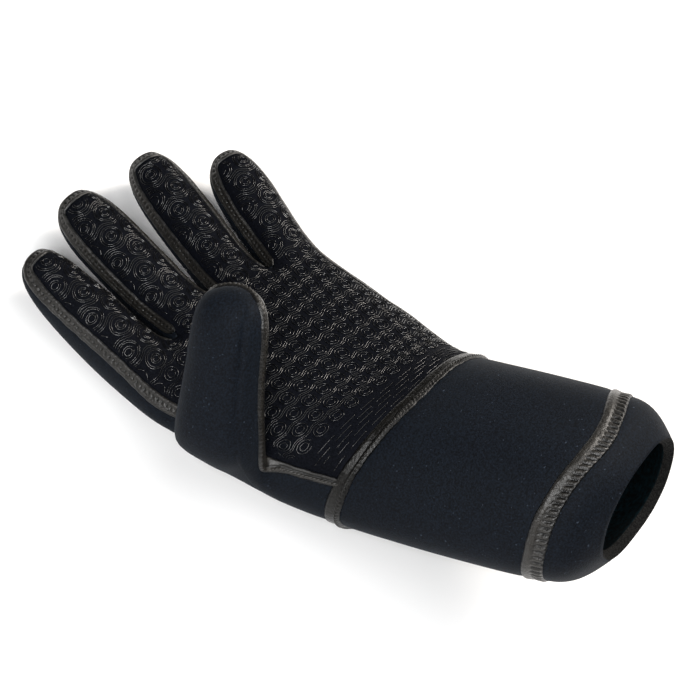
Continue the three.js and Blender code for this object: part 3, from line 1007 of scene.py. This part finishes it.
@dataclass(frozen=True)
class LeatheryTape(Finish):
    """Stretch tape with a rubber face, pressed over the seam with heat."""

    # The press leaves creases and an uneven half gloss. The colour carries painted shading: paler where the
    # tape stands proud, a painted highlight, and dark in the holes and along the low edges, painted shade,
    # broken up by scuffs.
    base: str = "#020202"
    light: str = "#23211e"
    scuff: float = 2.6  # mm between scuffs
    crease: float = 1.1  # mm between creases
    ior: float = 1.5
    roughness: float = 0.36
    gloss: float = 0.4

    def dress(self, tree: Tree, into: Sockets, place: Socket) -> None:
        """Scuffs mixed with painted shading from the tape's height, creases and uneven gloss.

        Args:
            tree: The material's nodes.
            into: The shader's sockets.
            place: Coordinates on the object, in metres.
        """
        marks = {"Vector": place, "Scale": 1 / (self.scuff * MM), "Detail": 4.0, "Roughness": 0.65}
        scuffs = add_node(tree, "ShaderNodeTexNoise", marks).outputs["Fac"]
        lines = {"Vector": place, "Scale": 1 / (self.crease * MM), "Detail": 3.0, "Roughness": 0.6}
        creases = add_node(tree, "ShaderNodeTexNoise", lines).outputs["Fac"]
        # Painted shading from the tape's height: painted highlight where it stands proud, painted shade in
        # the holes and along its low edges; the scuffs break it up.
        worn_and_painted_shading = add_node(tree, "ShaderNodeAttribute", attribute_name="wear_and_painted_shading").outputs["Fac"]
        both = add_node(tree, "ShaderNodeMath", {0: scuffs, 1: worn_and_painted_shading}, operation="MULTIPLY").outputs[0]
        part = add_node(tree, "ShaderNodeMapRange", {"Value": both, "From Min": 0.1, "From Max": 0.5})
        colours = {0: part.outputs["Result"], 6: linear(self.base), 7: linear(self.light)}
        uneven = {"Value": creases, "To Min": self.roughness - 0.14, "To Max": self.roughness + 0.2}
        coarse = add_node(tree, "ShaderNodeBump", {"Height": scuffs, "Distance": 0.5 * MM, "Strength": 0.8})
        under = coarse.outputs["Normal"]
        folds = {"Height": creases, "Distance": 0.24 * MM, "Strength": 0.9, "Normal": under}
        blend = add_node(tree, "ShaderNodeMix", colours, data_type="RGBA")
        tree.links.new(blend.outputs[2], into["Base Color"])
        tree.links.new(add_node(tree, "ShaderNodeMapRange", uneven).outputs["Result"], into["Roughness"])
        tree.links.new(add_node(tree, "ShaderNodeBump", folds).outputs["Normal"], into["Normal"])
        into["IOR"].default_value = self.ior
        into["Specular IOR Level"].default_value = self.gloss


@dataclass(frozen=True)
class CutFoam(Finish):
    """Closed-cell rubber foam, cut with a blade."""

    # The blade opens the cells, so the edge is dull charcoal with fine dark pores.
    base: str = "#050505"
    light: str = "#181817"
    pore: float = 0.8  # cells are 0.3 mm, and are drawn coarser so that they show
    ior: float = 1.5
    roughness: float = 0.9
    gloss: float = 0.12

    def dress(self, tree: Tree, into: Sockets, place: Socket) -> None:
        """Pores in colour and bump.

        Args:
            tree: The material's nodes.
            into: The shader's sockets.
            place: Coordinates on the object, in metres.
        """
        cells = add_node(tree, "ShaderNodeTexVoronoi", {"Vector": place, "Scale": 1 / (self.pore * MM)})
        deep = cells.outputs["Distance"]
        part = add_node(tree, "ShaderNodeMapRange", {"Value": deep, "From Min": 0.15, "From Max": 0.7})
        colours = {0: part.outputs["Result"], 6: linear(self.light), 7: linear(self.base)}
        relief = add_node(tree, "ShaderNodeBump", {"Height": deep, "Distance": 0.4 * MM})
        blend = add_node(tree, "ShaderNodeMix", colours, data_type="RGBA")
        tree.links.new(blend.outputs[2], into["Base Color"])
        tree.links.new(relief.outputs["Normal"], into["Normal"])
        into["Roughness"].default_value = self.roughness
        into["IOR"].default_value = self.ior
        into["Specular IOR Level"].default_value = self.gloss


@dataclass(frozen=True)
class PlushLining(Finish):
    """Polyester plush, knitted and brushed."""

    # Brushing raises tufts that swallow the light: black, with a breath of teal.
    base: str = "#020405"
    light: str = "#05161b"
    tuft: float = 1.8  # mm from tuft to tuft
    ior: float = 1.57
    roughness: float = 0.95
    gloss: float = 0.05

    def dress(self, tree: Tree, into: Sockets, place: Socket) -> None:
        """Soft tufts in colour and bump.

        Args:
            tree: The material's nodes.
            into: The shader's sockets.
            place: Coordinates on the object, in metres.
        """
        pile = {"Vector": place, "Scale": 1 / (self.tuft * MM), "Detail": 3.0}
        tufts = add_node(tree, "ShaderNodeTexNoise", pile).outputs["Fac"]
        part = add_node(tree, "ShaderNodeMapRange", {"Value": tufts, "From Min": 0.35, "From Max": 0.7})
        colours = {0: part.outputs["Result"], 6: linear(self.base), 7: linear(self.light)}
        relief = add_node(tree, "ShaderNodeBump", {"Height": tufts, "Distance": 0.3 * MM, "Strength": 0.8})
        blend = add_node(tree, "ShaderNodeMix", colours, data_type="RGBA")
        tree.links.new(blend.outputs[2], into["Base Color"])
        tree.links.new(relief.outputs["Normal"], into["Normal"])
        into["Roughness"].default_value = self.roughness
        into["IOR"].default_value = self.ior
        into["Specular IOR Level"].default_value = self.gloss


@dataclass(frozen=True)
class StudioPaper(Finish):
    """Background paper, uncoated."""

    # Matt and even, so that it carries only the soft shadow.
    base: str = "#f4f4f4"
    ior: float = 1.5
    roughness: float = 0.9

    def dress(self, tree: Tree, into: Sockets, place: Socket) -> None:
        """Plain and matt.

        Args:
            tree: The material's nodes. Not used.
            into: The shader's sockets.
            place: Coordinates on the object, in metres. Not used.
        """
        into["Base Color"].default_value = linear(self.base)
        into["Roughness"].default_value = self.roughness
        into["IOR"].default_value = self.ior


@dataclass
class FoamPanel:
    """A sewn panel: the skin outside, the lining inside, and a cut foam edge all round."""

    name: str
    slot: str
    nets: list[str]
    skin: FoamSkin
    shy: float = 0.12

    def build(self, finishes: list[bpy.types.Material]) -> bpy.types.Object:
        """Make the closed panel.

        Args:
            finishes: Of the outside, the cut edge and the inside.

        Returns:
            The piece.
        """
        points, normals = self.skin.points[:, :3], self.skin.normals
        quads = np.concatenate([quads_of(self.skin.nets[n]) for n in self.nets])
        numbers = np.unique(quads)
        local = np.zeros(len(points), int)
        local[numbers] = np.arange(len(numbers))
        directed = np.stack([quads, np.roll(quads, -1, 1)], -1).reshape(-1, 2)
        codes = directed[:, 0] * len(points) + directed[:, 1]
        back = directed[:, 1] * len(points) + directed[:, 0]
        rim = directed[~np.isin(back, codes)]
        outer = points[numbers].copy()
        pull = np.zeros_like(points)
        centres = points[quads].mean(1)
        on_rim = np.isin(quads, rim)
        for k in range(4):
            pick = on_rim[:, k]
            np.add.at(pull, quads[pick, k], centres[pick] - points[quads[pick, k]])
        edge = np.unique(rim)
        way = pull[edge] - normals[edge] * np.sum(pull[edge] * normals[edge], 1)[:, None]
        way /= np.maximum(np.linalg.norm(way, axis=1), 1e-9)[:, None]
        outer[local[edge]] += way * self.shy
        inner = outer - normals[numbers] * self.skin.form.wall
        inner[:, 2] = np.maximum(inner[:, 2], self.skin.form.wall * 0.9)
        count = len(numbers)
        faces = [list(q) for q in local[quads]]
        faces += [[a + count for a in q[::-1]] for q in local[quads]]
        faces += [[local[a], local[a] + count, local[b] + count, local[b]] for a, b in rim]
        which = [0] * len(quads) + [2] * len(quads) + [1] * len(rim)
        piece = make_object(f"{self.name}_foam", np.concatenate([outer, inner]), faces, finishes, which)
        for poly in piece.data.polygons[2 * len(quads):]:
            poly.use_smooth = False
        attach(piece, "root")
        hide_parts(self.name)
        return piece


class Stitch(Enum):
    """How the sewing shows through a tape."""

    DIMPLES = "dimples"
    LADDER = "ladder"
    ROPE = "rope"


@dataclass(frozen=True)
class TapeCut:
    """Cross-section of a tape, in mm: reach over the palm and back side, and how it is sewn.

    The sewn row lies a distance in from the back edge. Knots give how much wider the tape gets on the
    back side at distances along the seam.
    """

    palm: float
    back: float
    thick: float
    stitch: Stitch
    row: float
    pitch: float
    depth: float
    wobble: float = 0.3
    knots: tuple[tuple[float, float], ...] = ((0.0, 0.0),)


@dataclass
class SeamTape:
    """A tape along a seam line."""

    node: str
    line: list[Walk]
    cut: TapeCut
    skin: FoamSkin
    trims: tuple[float, float] | None = None
    samples: int = 15
    step: float = 0.42
    round_off: float = 4.2
    free_trim: float = 2.0
    seed: int = 1

    def stroll(self, walk: list[int], distance: float) -> tuple[Points, Points]:
        """Walk over the skin away from the seam.

        Args:
            walk: Point numbers on the way.
            distance: How far to go.

        Returns:
            The point reached and its normal.
        """
        points, normals = self.skin.points, self.skin.normals
        left = distance
        k = 0
        step = float(np.linalg.norm(points[walk[1], :3] - points[walk[0], :3]))
        while left > step and k + 2 < len(walk):
            left -= step
            k += 1
            step = float(np.linalg.norm(points[walk[k + 1], :3] - points[walk[k], :3]))
        t = min(left / max(step, 1e-6), 1.0)
        p = points[walk[k], :3] * (1 - t) + points[walk[k + 1], :3] * t
        n = normals[walk[k]] * (1 - t) + normals[walk[k + 1]] * t
        return p, n / np.linalg.norm(n)

    def from_ends(self, at: np.ndarray) -> np.ndarray:
        """Measure to the nearest free end. An end that goes under a band has a short trim and isn't free.

        Args:
            at: Distances along the seam.

        Returns:
            A distance for each.
        """
        start = at - at[0] if self.trims[0] > self.free_trim else np.full(len(at), self.skin.far)
        finish = at[-1] - at if self.trims[1] > self.free_trim else np.full(len(at), self.skin.far)
        return np.minimum(start, finish)

    def reach(self, at: np.ndarray) -> np.ndarray:
        """Reach over the back side at distances along the seam."""
        far, wider = zip(*self.cut.knots)
        return self.cut.back + np.interp(at, far, wider)

    def rows(self) -> tuple[np.ndarray, np.ndarray, np.ndarray]:
        """Lay rows of samples over the tape, evenly spaced along the seam.

        Returns:
            Their places, their normals and the distance of each row.
        """
        cut = self.cut
        seam = np.array([self.skin.points[walk[0][0], :3] for walk in self.line])
        gone = np.concatenate([[0], np.cumsum(np.linalg.norm(np.diff(seam, axis=0), axis=1))])
        grid = []
        for (palm, back), reach in zip(self.line, self.reach(gone)):
            spots = np.linspace(-cut.palm, reach, self.samples)
            grid.append([self.stroll(palm, -s) if s < 0 else self.stroll(back, s) for s in spots])
        where = np.array([[g[0] for g in row] for row in grid])
        up = np.array([[g[1] for g in row] for row in grid])
        if self.trims is None:
            where, up, seam = (np.concatenate([v, v[:1]]) for v in (where, up, seam))
        run = np.concatenate([[0], np.cumsum(np.linalg.norm(np.diff(seam, axis=0), axis=1))])
        start, end = (0.0, run[-1]) if self.trims is None else (self.trims[0], run[-1] - self.trims[1])
        count = max(8, int((end - start) / self.step))
        at = np.linspace(start, end, count, endpoint=self.trims is not None)

        def evened(values: np.ndarray) -> np.ndarray:
            """Values of the rows, evenly spaced."""
            columns = [np.interp(at, run, c) for c in values.reshape(len(values), -1).T]
            return np.stack(columns, 1).reshape(count, self.samples, 3)

        return self.rounded(evened(where)), evened(up), at

    def rounded(self, where: Points) -> Points:
        """Round the corners of the tape, and lay it back on the skin.

        Args:
            where: Rows of places.

        Returns:
            The rounded rows.
        """
        if self.trims is None:
            return where
        span = int(4 * self.round_off / self.step)
        weights = np.exp(-((np.arange(-span, span + 1) * self.step / self.round_off) ** 2))
        padded = np.concatenate([where[:1].repeat(span, 0), where, where[-1:].repeat(span, 0)])
        soft = sum(w * padded[k:k + len(where)] for k, w in enumerate(weights)) / weights.sum()
        fade = np.clip(np.minimum(np.arange(len(where)), np.arange(len(where))[::-1]) / span, 0, 1)
        soft = where + (soft - where) * fade[:, None, None]
        laid = [self.skin.surface.find_nearest(Vector(p))[0] for p in soft.reshape(-1, 3)]
        return np.array([tuple(p) for p in laid]).reshape(where.shape)

    def heights(self, at: np.ndarray, spots: np.ndarray) -> np.ndarray:
        """Height of the tape over the skin.

        Args:
            at: Distance of each row along the seam.
            spots: Place of each sample across, below 0 on the palm side, for each row.

        Returns:
            Heights in mm.
        """
        cut = self.cut
        share = (spots + cut.palm) / (spots[:, -1:] + cut.palm)
        crown = np.clip(1 - np.abs(2 * share - 1) ** 5, 0, 1) ** 0.6
        body = 0.1 + (cut.thick - 0.1) * crown
        end = float(at[-1] + (at[1] - at[0]) * (self.trims is None))
        phase = np.repeat((at * max(1, round(end / cut.pitch)) / end)[:, None], self.samples, 1)
        s = spots - (spots[:, -1:] - cut.row)
        pulse = np.exp(-(((phase % 1) - 0.5) / 0.22) ** 2)
        # Dimples over a pressed line; holes of a ladder beside a groove; a twisted cord between two grooves
        if cut.stitch is Stitch.DIMPLES:
            body = body - cut.depth * pulse * np.exp(-((s / 0.75) ** 2))
            body = body - 0.3 * np.exp(-(((s - 1.4) / 0.32) ** 2))
        elif cut.stitch is Stitch.LADDER:
            over = 1 / (1 + np.exp(-(s + 0.2) * 6)) / (1 + np.exp((s - cut.row + 0.7) * 6))
            body = body - cut.depth * pulse * over - 0.25 * np.exp(-(((s + 0.7) / 0.3) ** 2))
        else:
            rope = np.exp(-((s / 0.6) ** 2)) * (0.55 + 0.45 * np.cos(2 * math.pi * (phase - s * 0.5)))
            groove = np.exp(-(((s + 1.3) / 0.35) ** 2)) + 0.7 * np.exp(-(((s - 1.05) / 0.3) ** 2))
            body = body + cut.depth * rope - 0.5 * groove
        along = np.repeat(at[:, None], self.samples, 1)
        places = np.stack([along.ravel() / 9.0, spots.ravel() / 1.1, np.full(along.size, self.seed)], 1)
        folds = noise_at(places, 1.0).reshape(along.shape)
        body = body + 0.16 * folds * crown
        if self.trims is not None:
            body = body * np.clip(0.25 + self.from_ends(at) / 3.5, 0, 1)[:, None] ** 0.7
        return np.maximum(body, 0.05)

    def build(self, finish: bpy.types.Material) -> bpy.types.Object:
        """Make the closed tape.

        Args:
            finish: Its material.

        Returns:
            The piece.
        """
        cut = self.cut
        where, up, at = self.rows()
        reach = self.reach(at)
        share = np.linspace(0, 1, self.samples)[None]
        spots = -cut.palm + share * (reach[:, None] + cut.palm)
        high = self.heights(at, spots)
        edge = noise_at(np.stack([at / 4.5, np.zeros(len(at)), np.full(len(at), self.seed)], 1), 1.0)
        side = where[:, -1] - where[:, 0]
        side /= np.linalg.norm(side, axis=1)[:, None]
        wide = (edge * cut.wobble)[:, None] * (2 * share - 1) ** 3
        if self.trims is not None:
            narrow = 1 - np.clip(self.from_ends(at) / 4.0, 0, 1) ** 0.8
            middle = where[:, self.samples // 2][:, None]
            where = where + (middle - where) * (0.5 * narrow)[:, None, None]
        top = where + up * high[:, :, None] + side[:, None, :] * wide[:, :, None]
        low_spots = [0, self.samples // 2, self.samples - 1]
        low = (where + up * 0.02)[:, low_spots] + side[:, None, :] * wide[:, low_spots, None]
        ring = np.concatenate([top, low[:, ::-1]], 1)
        rows, sides = ring.shape[:2]
        faces = []
        closed = self.trims is None
        for i in range(rows if closed else rows - 1):
            j = (i + 1) % rows
            for k in range(sides):
                m = (k + 1) % sides
                faces.append([i * sides + k, i * sides + m, j * sides + m, j * sides + k])
        if not closed:
            faces.append(list(range(sides))[::-1])
            faces.append([(rows - 1) * sides + k for k in range(sides)])
        piece = make_object(f"{self.node}_tape", ring.reshape(-1, 3), faces, [finish])
        # Painted shading: paler above the tape's mean height as a painted highlight, darker below it and
        # darkest on the low edge rows as painted shade.
        worn_and_painted_shading = np.concatenate([high - high.mean(), np.full((rows, 3), -0.5)], 1)
        wear_and_painted_shading = piece.data.attributes.new("wear_and_painted_shading", "FLOAT", "POINT")
        wear_and_painted_shading.data.foreach_set("value", np.clip(0.5 + 0.9 * worn_and_painted_shading.ravel(), 0, 1))
        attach(piece, "root")
        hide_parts(self.node)
        return piece


@dataclass(frozen=True)
class PrintZone:
    """A part of the printed pattern, in mm: where it lies along the palm, its pitches, rings and waves."""

    low: float
    high: float
    pitch_across: float
    pitch_along: float
    rings: tuple[float, ...]
    wave: float


@dataclass
class GripPrint:
    """Raised rubber lines on the palm panel.

    Nests of rings are staggered in rows, with waved lines between the rows and dashes at the heel. The
    heel has its low and high end and the gap between rows, and dashes have a length, a pitch and a shift
    from row to row.
    """

    skin: FoamSkin
    zones: tuple[PrintZone, ...] = (
        PrintZone(17.0, 99.5, 8.4, 8.2, (3.0, 1.7), 0.55),
        PrintZone(99.5, 190.0, 11.4, 10.6, (4.6, 3.8, 2.2, 1.4), 1.0),
    )
    heel: tuple[float, float, float] = (3.0, 16.5, 2.7)
    dashes: tuple[float, float, float] = (8.4, 11.5, 4.7)
    columns: range = range(-8, 9)
    half_width: float = 75.0
    half_gap: float = 0.45
    fewest: int = 10  # points of the smallest ring
    line: float = 0.34
    height: float = 0.34
    sink: float = 0.1
    margin: float = 3.3
    step: float = 0.75
    shortest: int = 5  # points in the shortest line that the screen prints
    cells: np.ndarray = field(default_factory=lambda: np.zeros((0, 4), int))
    centres: np.ndarray = field(default_factory=lambda: np.zeros((0, 2)))
    sides: np.ndarray = field(default_factory=lambda: np.zeros((0, 2, 2)))
    tree: kdtree.KDTree | None = None

    def prepare(self) -> None:
        """Lay out the flattened palm and fingers for looking up places on the skin."""
        names = ["palm_top", *[f"{f.name}_top" for f in self.skin.form.fingers]]
        self.cells = np.concatenate([quads_of(self.skin.nets[n]) for n in names])
        flat = self.skin.points[:, 3:5][self.cells]
        self.centres = flat.mean(1)
        self.tree = kdtree.KDTree(len(self.cells))
        for i, c in enumerate(self.centres):
            self.tree.insert((c[0], c[1], 0), i)
        self.tree.balance()
        self.sides = np.stack([
            (flat[:, 1] + flat[:, 2] - flat[:, 0] - flat[:, 3]) / 2,
            (flat[:, 3] + flat[:, 2] - flat[:, 0] - flat[:, 1]) / 2,
        ], 2)

    def lift(self, flat: np.ndarray) -> tuple[Points, Points, np.ndarray]:
        """Bring places on the flattened pattern up to the skin.

        Args:
            flat: Rows of across and along.

        Returns:
            Points, normals and whether each place is inside the panel.
        """
        found = [self.tree.find((f[0], f[1], 0)) for f in flat]
        cell = np.array([f[1] for f in found])
        sides = self.sides[cell]
        rest = flat - self.centres[cell]
        st = np.linalg.solve(sides, rest[:, :, None])[:, :, 0]
        inside = np.all(np.abs(st) < 0.75, axis=1)
        st = np.clip(st, -0.6, 0.6)
        w = np.stack([
            (0.5 - st[:, 0]) * (0.5 - st[:, 1]),
            (0.5 + st[:, 0]) * (0.5 - st[:, 1]),
            (0.5 + st[:, 0]) * (0.5 + st[:, 1]),
            (0.5 - st[:, 0]) * (0.5 + st[:, 1]),
        ], 1)
        corners = self.cells[cell]
        where = np.einsum("nk,nkc->nc", w, self.skin.points[:, :3][corners])
        up = np.einsum("nk,nkc->nc", w, self.skin.normals[corners])
        up /= np.linalg.norm(up, axis=1)[:, None]
        far = np.einsum("nk,nk->n", w, self.skin.margin[corners]) > self.margin
        return where, up, inside & far

    def lines(self) -> list[tuple[np.ndarray, bool]]:
        """Draw the pattern on the flattened palm.

        Returns:
            Its lines, each with whether it is closed.
        """
        made: list[tuple[np.ndarray, bool]] = []
        x = np.arange(-self.half_width, self.half_width, self.step)
        for zone in self.zones:
            for r in range(int((zone.high - zone.low) / zone.pitch_along)):
                along = zone.low + (r + 0.5) * zone.pitch_along
                for c in self.columns:
                    middle = np.array([(c + 0.5 * (r % 2)) * zone.pitch_across, along])
                    for radius in zone.rings:
                        count = max(self.fewest, round(2 * math.pi * radius / self.step))
                        turn = np.linspace(0, 2 * math.pi, count + 1)[:-1]
                        made.append((middle + radius * np.stack([np.cos(turn), np.sin(turn)], 1), True))
                for half in (-self.half_gap, self.half_gap):
                    phase = 2 * math.pi * (x / zone.pitch_across - 0.5 * (r % 2))
                    between = along + zone.pitch_along / 2 + half
                    made.append((np.stack([x, between + zone.wave * np.cos(phase)], 1), False))
        low, high, gap = self.heel
        length, pitch, shift = self.dashes
        for r in range(int((high - low) / gap)):
            for c in self.columns:
                dash = np.arange(0, length, self.step) + pitch * c + shift * (r % 3)
                made.append((np.stack([dash, np.full(len(dash), low + r * gap)], 1), False))
        return made

    def strip(self, flat: np.ndarray, closed: bool, verts: list[Points], faces: list[list[int]]) -> None:
        """Add the raised strips of one line where it lies on the panel.

        Args:
            flat: The line on the flattened pattern.
            closed: Whether it ends where it starts.
            verts: Takes the strips' points.
            faces: Takes their faces.
        """
        way = np.roll(flat, -1, 0) - np.roll(flat, 1, 0) if closed else np.gradient(flat, axis=0)
        way /= np.linalg.norm(way, axis=1)[:, None]
        side = np.stack([-way[:, 1], way[:, 0]], 1) * self.line / 2
        left, up_l, in_l = self.lift(flat - side)
        right, up_r, in_r = self.lift(flat + side)
        good = in_l & in_r
        runs: list[list[int]] = []
        if closed and good.all():
            runs = [list(range(len(flat)))]
        else:
            run: list[int] = []
            for i, g in enumerate(good):
                if g:
                    run.append(i)
                elif run:
                    runs.append(run)
                    run = []
            if run:
                runs.append(run)
        for run in runs:
            if len(run) < self.shortest:
                continue
            loop = closed and len(run) == len(flat)
            l, r, n = left[run], right[run], (up_l[run] + up_r[run]) / 2
            inset = (r - l) * 0.15
            section = np.stack([
                l - n * self.sink,
                r - n * self.sink,
                r - inset + n * self.height * 0.7,
                (l + r) / 2 + n * self.height,
                l + inset + n * self.height * 0.7,
            ], 1)
            base = sum(len(v) for v in verts)
            verts.append(section.reshape(-1, 3))
            count = len(run)
            for i in range(count if loop else count - 1):
                j = (i + 1) % count
                for k in range(5):
                    m = (k + 1) % 5
                    faces.append([base + i * 5 + k, base + i * 5 + m, base + j * 5 + m, base + j * 5 + k])
            if not loop:
                faces.append([base + k for k in (4, 3, 2, 1, 0)])
                faces.append([base + (count - 1) * 5 + k for k in range(5)])

    def build(self, finish: bpy.types.Material) -> bpy.types.Object:
        """Make the print.

        Args:
            finish: Its material.

        Returns:
            The piece.
        """
        self.prepare()
        verts: list[Points] = []
        faces: list[list[int]] = []
        for flat, closed in self.lines():
            self.strip(flat, closed, verts, faces)
        piece = make_object("grip_print", np.concatenate(verts), faces, [finish])
        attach(piece, "root")
        return piece


@dataclass
class Studio:
    """Pale floor, soft lights, and the camera at the photo's angle to the glove."""

    form: GloveForm
    azimuth: float = -64.7
    elevation: float = 47.8
    distance: float = 900.0
    focal_px: float = 2140.0
    frame_px: float = 700.0
    target: tuple[float, float, float] = (0.0, 20.0, 3.0)
    centre_px: tuple[float, float] = (369.4, 422.9)
    sensor: float = 36.0
    paper_half: float = 6000.0
    world_light: float = 0.08
    light_distance: float = 1.1  # metres
    light_aim: float = 0.04  # metres above the floor

    def camera(self) -> None:
        """Place the camera: its place is known beside the unturned form, so it turns with the form."""
        a, e = math.radians(self.azimuth), math.radians(self.elevation)
        back = np.array([math.sin(a) * math.cos(e), -math.cos(a) * math.cos(e), math.sin(e)])
        right = np.array([math.cos(a), math.sin(a), 0.0])
        up = np.cross(back, right)
        place = np.array(self.target) + back * self.distance
        middle = self.frame_px / 2
        aim = -back * self.focal_px + right * (middle - self.centre_px[0]) + up * (self.centre_px[1] - middle)
        place, aim, up = (self.form.turn(v[None])[0] for v in (place, aim, up))
        place = place + self.form.shift
        back = Vector(-aim).normalized()
        right = Vector(up).cross(back).normalized()
        turned = Matrix((right, back.cross(right), back)).transposed()
        data = bpy.data.cameras.new("camera")
        data.sensor_width = self.sensor
        data.lens = self.focal_px / self.frame_px * self.sensor
        data.clip_start, data.clip_end = 0.05, 20.0
        made = bpy.data.objects.new("camera", data)
        made.matrix_world = Matrix.Translation(Vector(place) * MM) @ turned.to_4x4()
        bpy.context.scene.collection.objects.link(made)
        bpy.context.scene.camera = made

    def light(
        self, name: str, azimuth: float, elevation: float, size: float, power: float, tone: str
    ) -> None:
        """Add a soft square light that looks at the glove.

        Args:
            name: Its name.
            azimuth: Direction in degrees, 0 from -Y and 90 from +X.
            elevation: Height above the floor in degrees.
            size: Side in metres.
            power: Watts.
            tone: Hex colour.
        """
        data = bpy.data.lights.new(name, "AREA")
        data.shape = "SQUARE"
        data.size = size
        data.energy = power
        data.color = linear(tone)[:3]
        a, e = math.radians(azimuth), math.radians(elevation)
        back = Vector((math.sin(a) * math.cos(e), -math.cos(a) * math.cos(e), math.sin(e)))
        made = bpy.data.objects.new(name, data)
        made.location = back * self.light_distance + Vector((0, 0, self.light_aim))
        made.rotation_mode = "QUATERNION"
        made.rotation_quaternion = back.to_track_quat("Z", "Y")
        bpy.context.scene.collection.objects.link(made)

    def build(self, paper: bpy.types.Material) -> None:
        """Set up floor, world, lights and camera.

        Args:
            paper: Material of the floor.
        """
        half = self.paper_half
        corners = np.array([[-half, -half, 0], [half, -half, 0], [half, half, 0], [-half, half, 0]])
        floor = make_object("studio_floor", corners, [[0, 1, 2, 3]], [paper])
        world = bpy.data.worlds.new("studio")
        world.use_nodes = True
        glow = world.node_tree.nodes["Background"].inputs
        glow["Color"].default_value = linear("#ffffff")
        glow["Strength"].default_value = self.world_light
        bpy.context.scene.world = world
        bpy.context.scene.view_settings.view_transform = "Standard"
        self.light("key", -95, 48, 0.5, 14.0, "#ffffff")
        self.light("rim", 70, 40, 0.45, 15.0, "#fff8f0")
        self.light("top", 10, 80, 0.9, 6.0, "#ffffff")
        self.camera()


FINGER_TAPE = TapeCut(palm=2.0, back=3.8, thick=0.95, stitch=Stitch.DIMPLES, row=3.4, pitch=2.3, depth=0.75)
THUMB_TAPE = TapeCut(palm=1.4, back=3.2, thick=0.9, stitch=Stitch.ROPE, row=1.4, pitch=1.7, depth=0.8,
                     knots=((27.0, 0.0), (38.0, 5.8), (98.0, 5.8), (112.0, 0.5)))
WRIST_BAND = TapeCut(palm=3.1, back=4.0, thick=1.15, stitch=Stitch.ROPE, row=1.9, pitch=1.8, depth=0.75)
CUFF_BAND = TapeCut(palm=4.4, back=4.6, thick=1.1, stitch=Stitch.LADDER, row=4.4, pitch=2.7, depth=0.8)


def build_panels(skin: FoamSkin) -> None:
    """Build the four foam panels.

    Args:
        skin: The shaped skin.
    """
    jersey = KnitJersey("nylon_jersey_knitted").material()
    grip = KnitJersey("grip_jersey_knitted", ground="#030408", light="#0a0c12", fleck="#1c1e23",
                      sheen=0.0, gloss=0.04).material()
    foam = CutFoam("foam_cut").material()
    lining = PlushLining("plush_lining_brushed").material()
    table = {
        "palm_panel": ("grip_fabric", palm_names(skin.nets), grip),
        "back_panel": ("neoprene", back_names(skin.nets), jersey),
        "cuff_sleeve": ("neoprene", ["cuff"], jersey),
        "cuff_end": ("neoprene", ["cuff_end"], jersey),
    }
    for name, (slot, nets, outside) in table.items():
        FoamPanel(name, slot, nets, skin).build([outside, foam, lining])
        LOG.info("built %s", name)


def build_tapes(skin: FoamSkin) -> None:
    """Build the seam tapes.

    Args:
        skin: The shaped skin.
    """
    tape = LeatheryTape("stretch_tape_pressed").material()
    dark = LeatheryTape("stretch_tape_glued", light="#0e0d0b", roughness=0.3, gloss=0.24).material()
    table = (
        ("seam_thumb", "thumb", THUMB_TAPE, (1.0, 4.0)),
        ("seam_index", "index", FINGER_TAPE, (3.0, 3.0)),
        ("seam_middle", "middle", FINGER_TAPE, (3.0, 3.0)),
        ("seam_ring", "ring", FINGER_TAPE, (3.0, 3.0)),
        ("seam_little", "little", FINGER_TAPE, (3.0, 1.0)),
        ("wrist_seam", "wrist", WRIST_BAND, None),
        ("cuff_seam", "cuff", CUFF_BAND, None),
    )
    for number, (node, line, cut, trims) in enumerate(table):
        finish = dark if line == "wrist" else tape
        SeamTape(node, skin.seams[line], cut, skin, trims, seed=number + 1).build(finish)
        LOG.info("built %s", node)


def main() -> None:
    """Build the glove and the studio."""
    logging.basicConfig(level=logging.INFO)
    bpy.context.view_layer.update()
    form = GloveForm()
    skin = FoamSkin(form)
    skin.build()
    LOG.info("shaped the skin of %d points", len(skin.points))
    build_panels(skin)
    build_tapes(skin)
    GripPrint(skin).build(PrintedRubber("silicone_printed").material())
    LOG.info("built grip_print")
    Studio(form).build(StudioPaper("paper_matt").material())


if __name__ == "__main__":
    main()
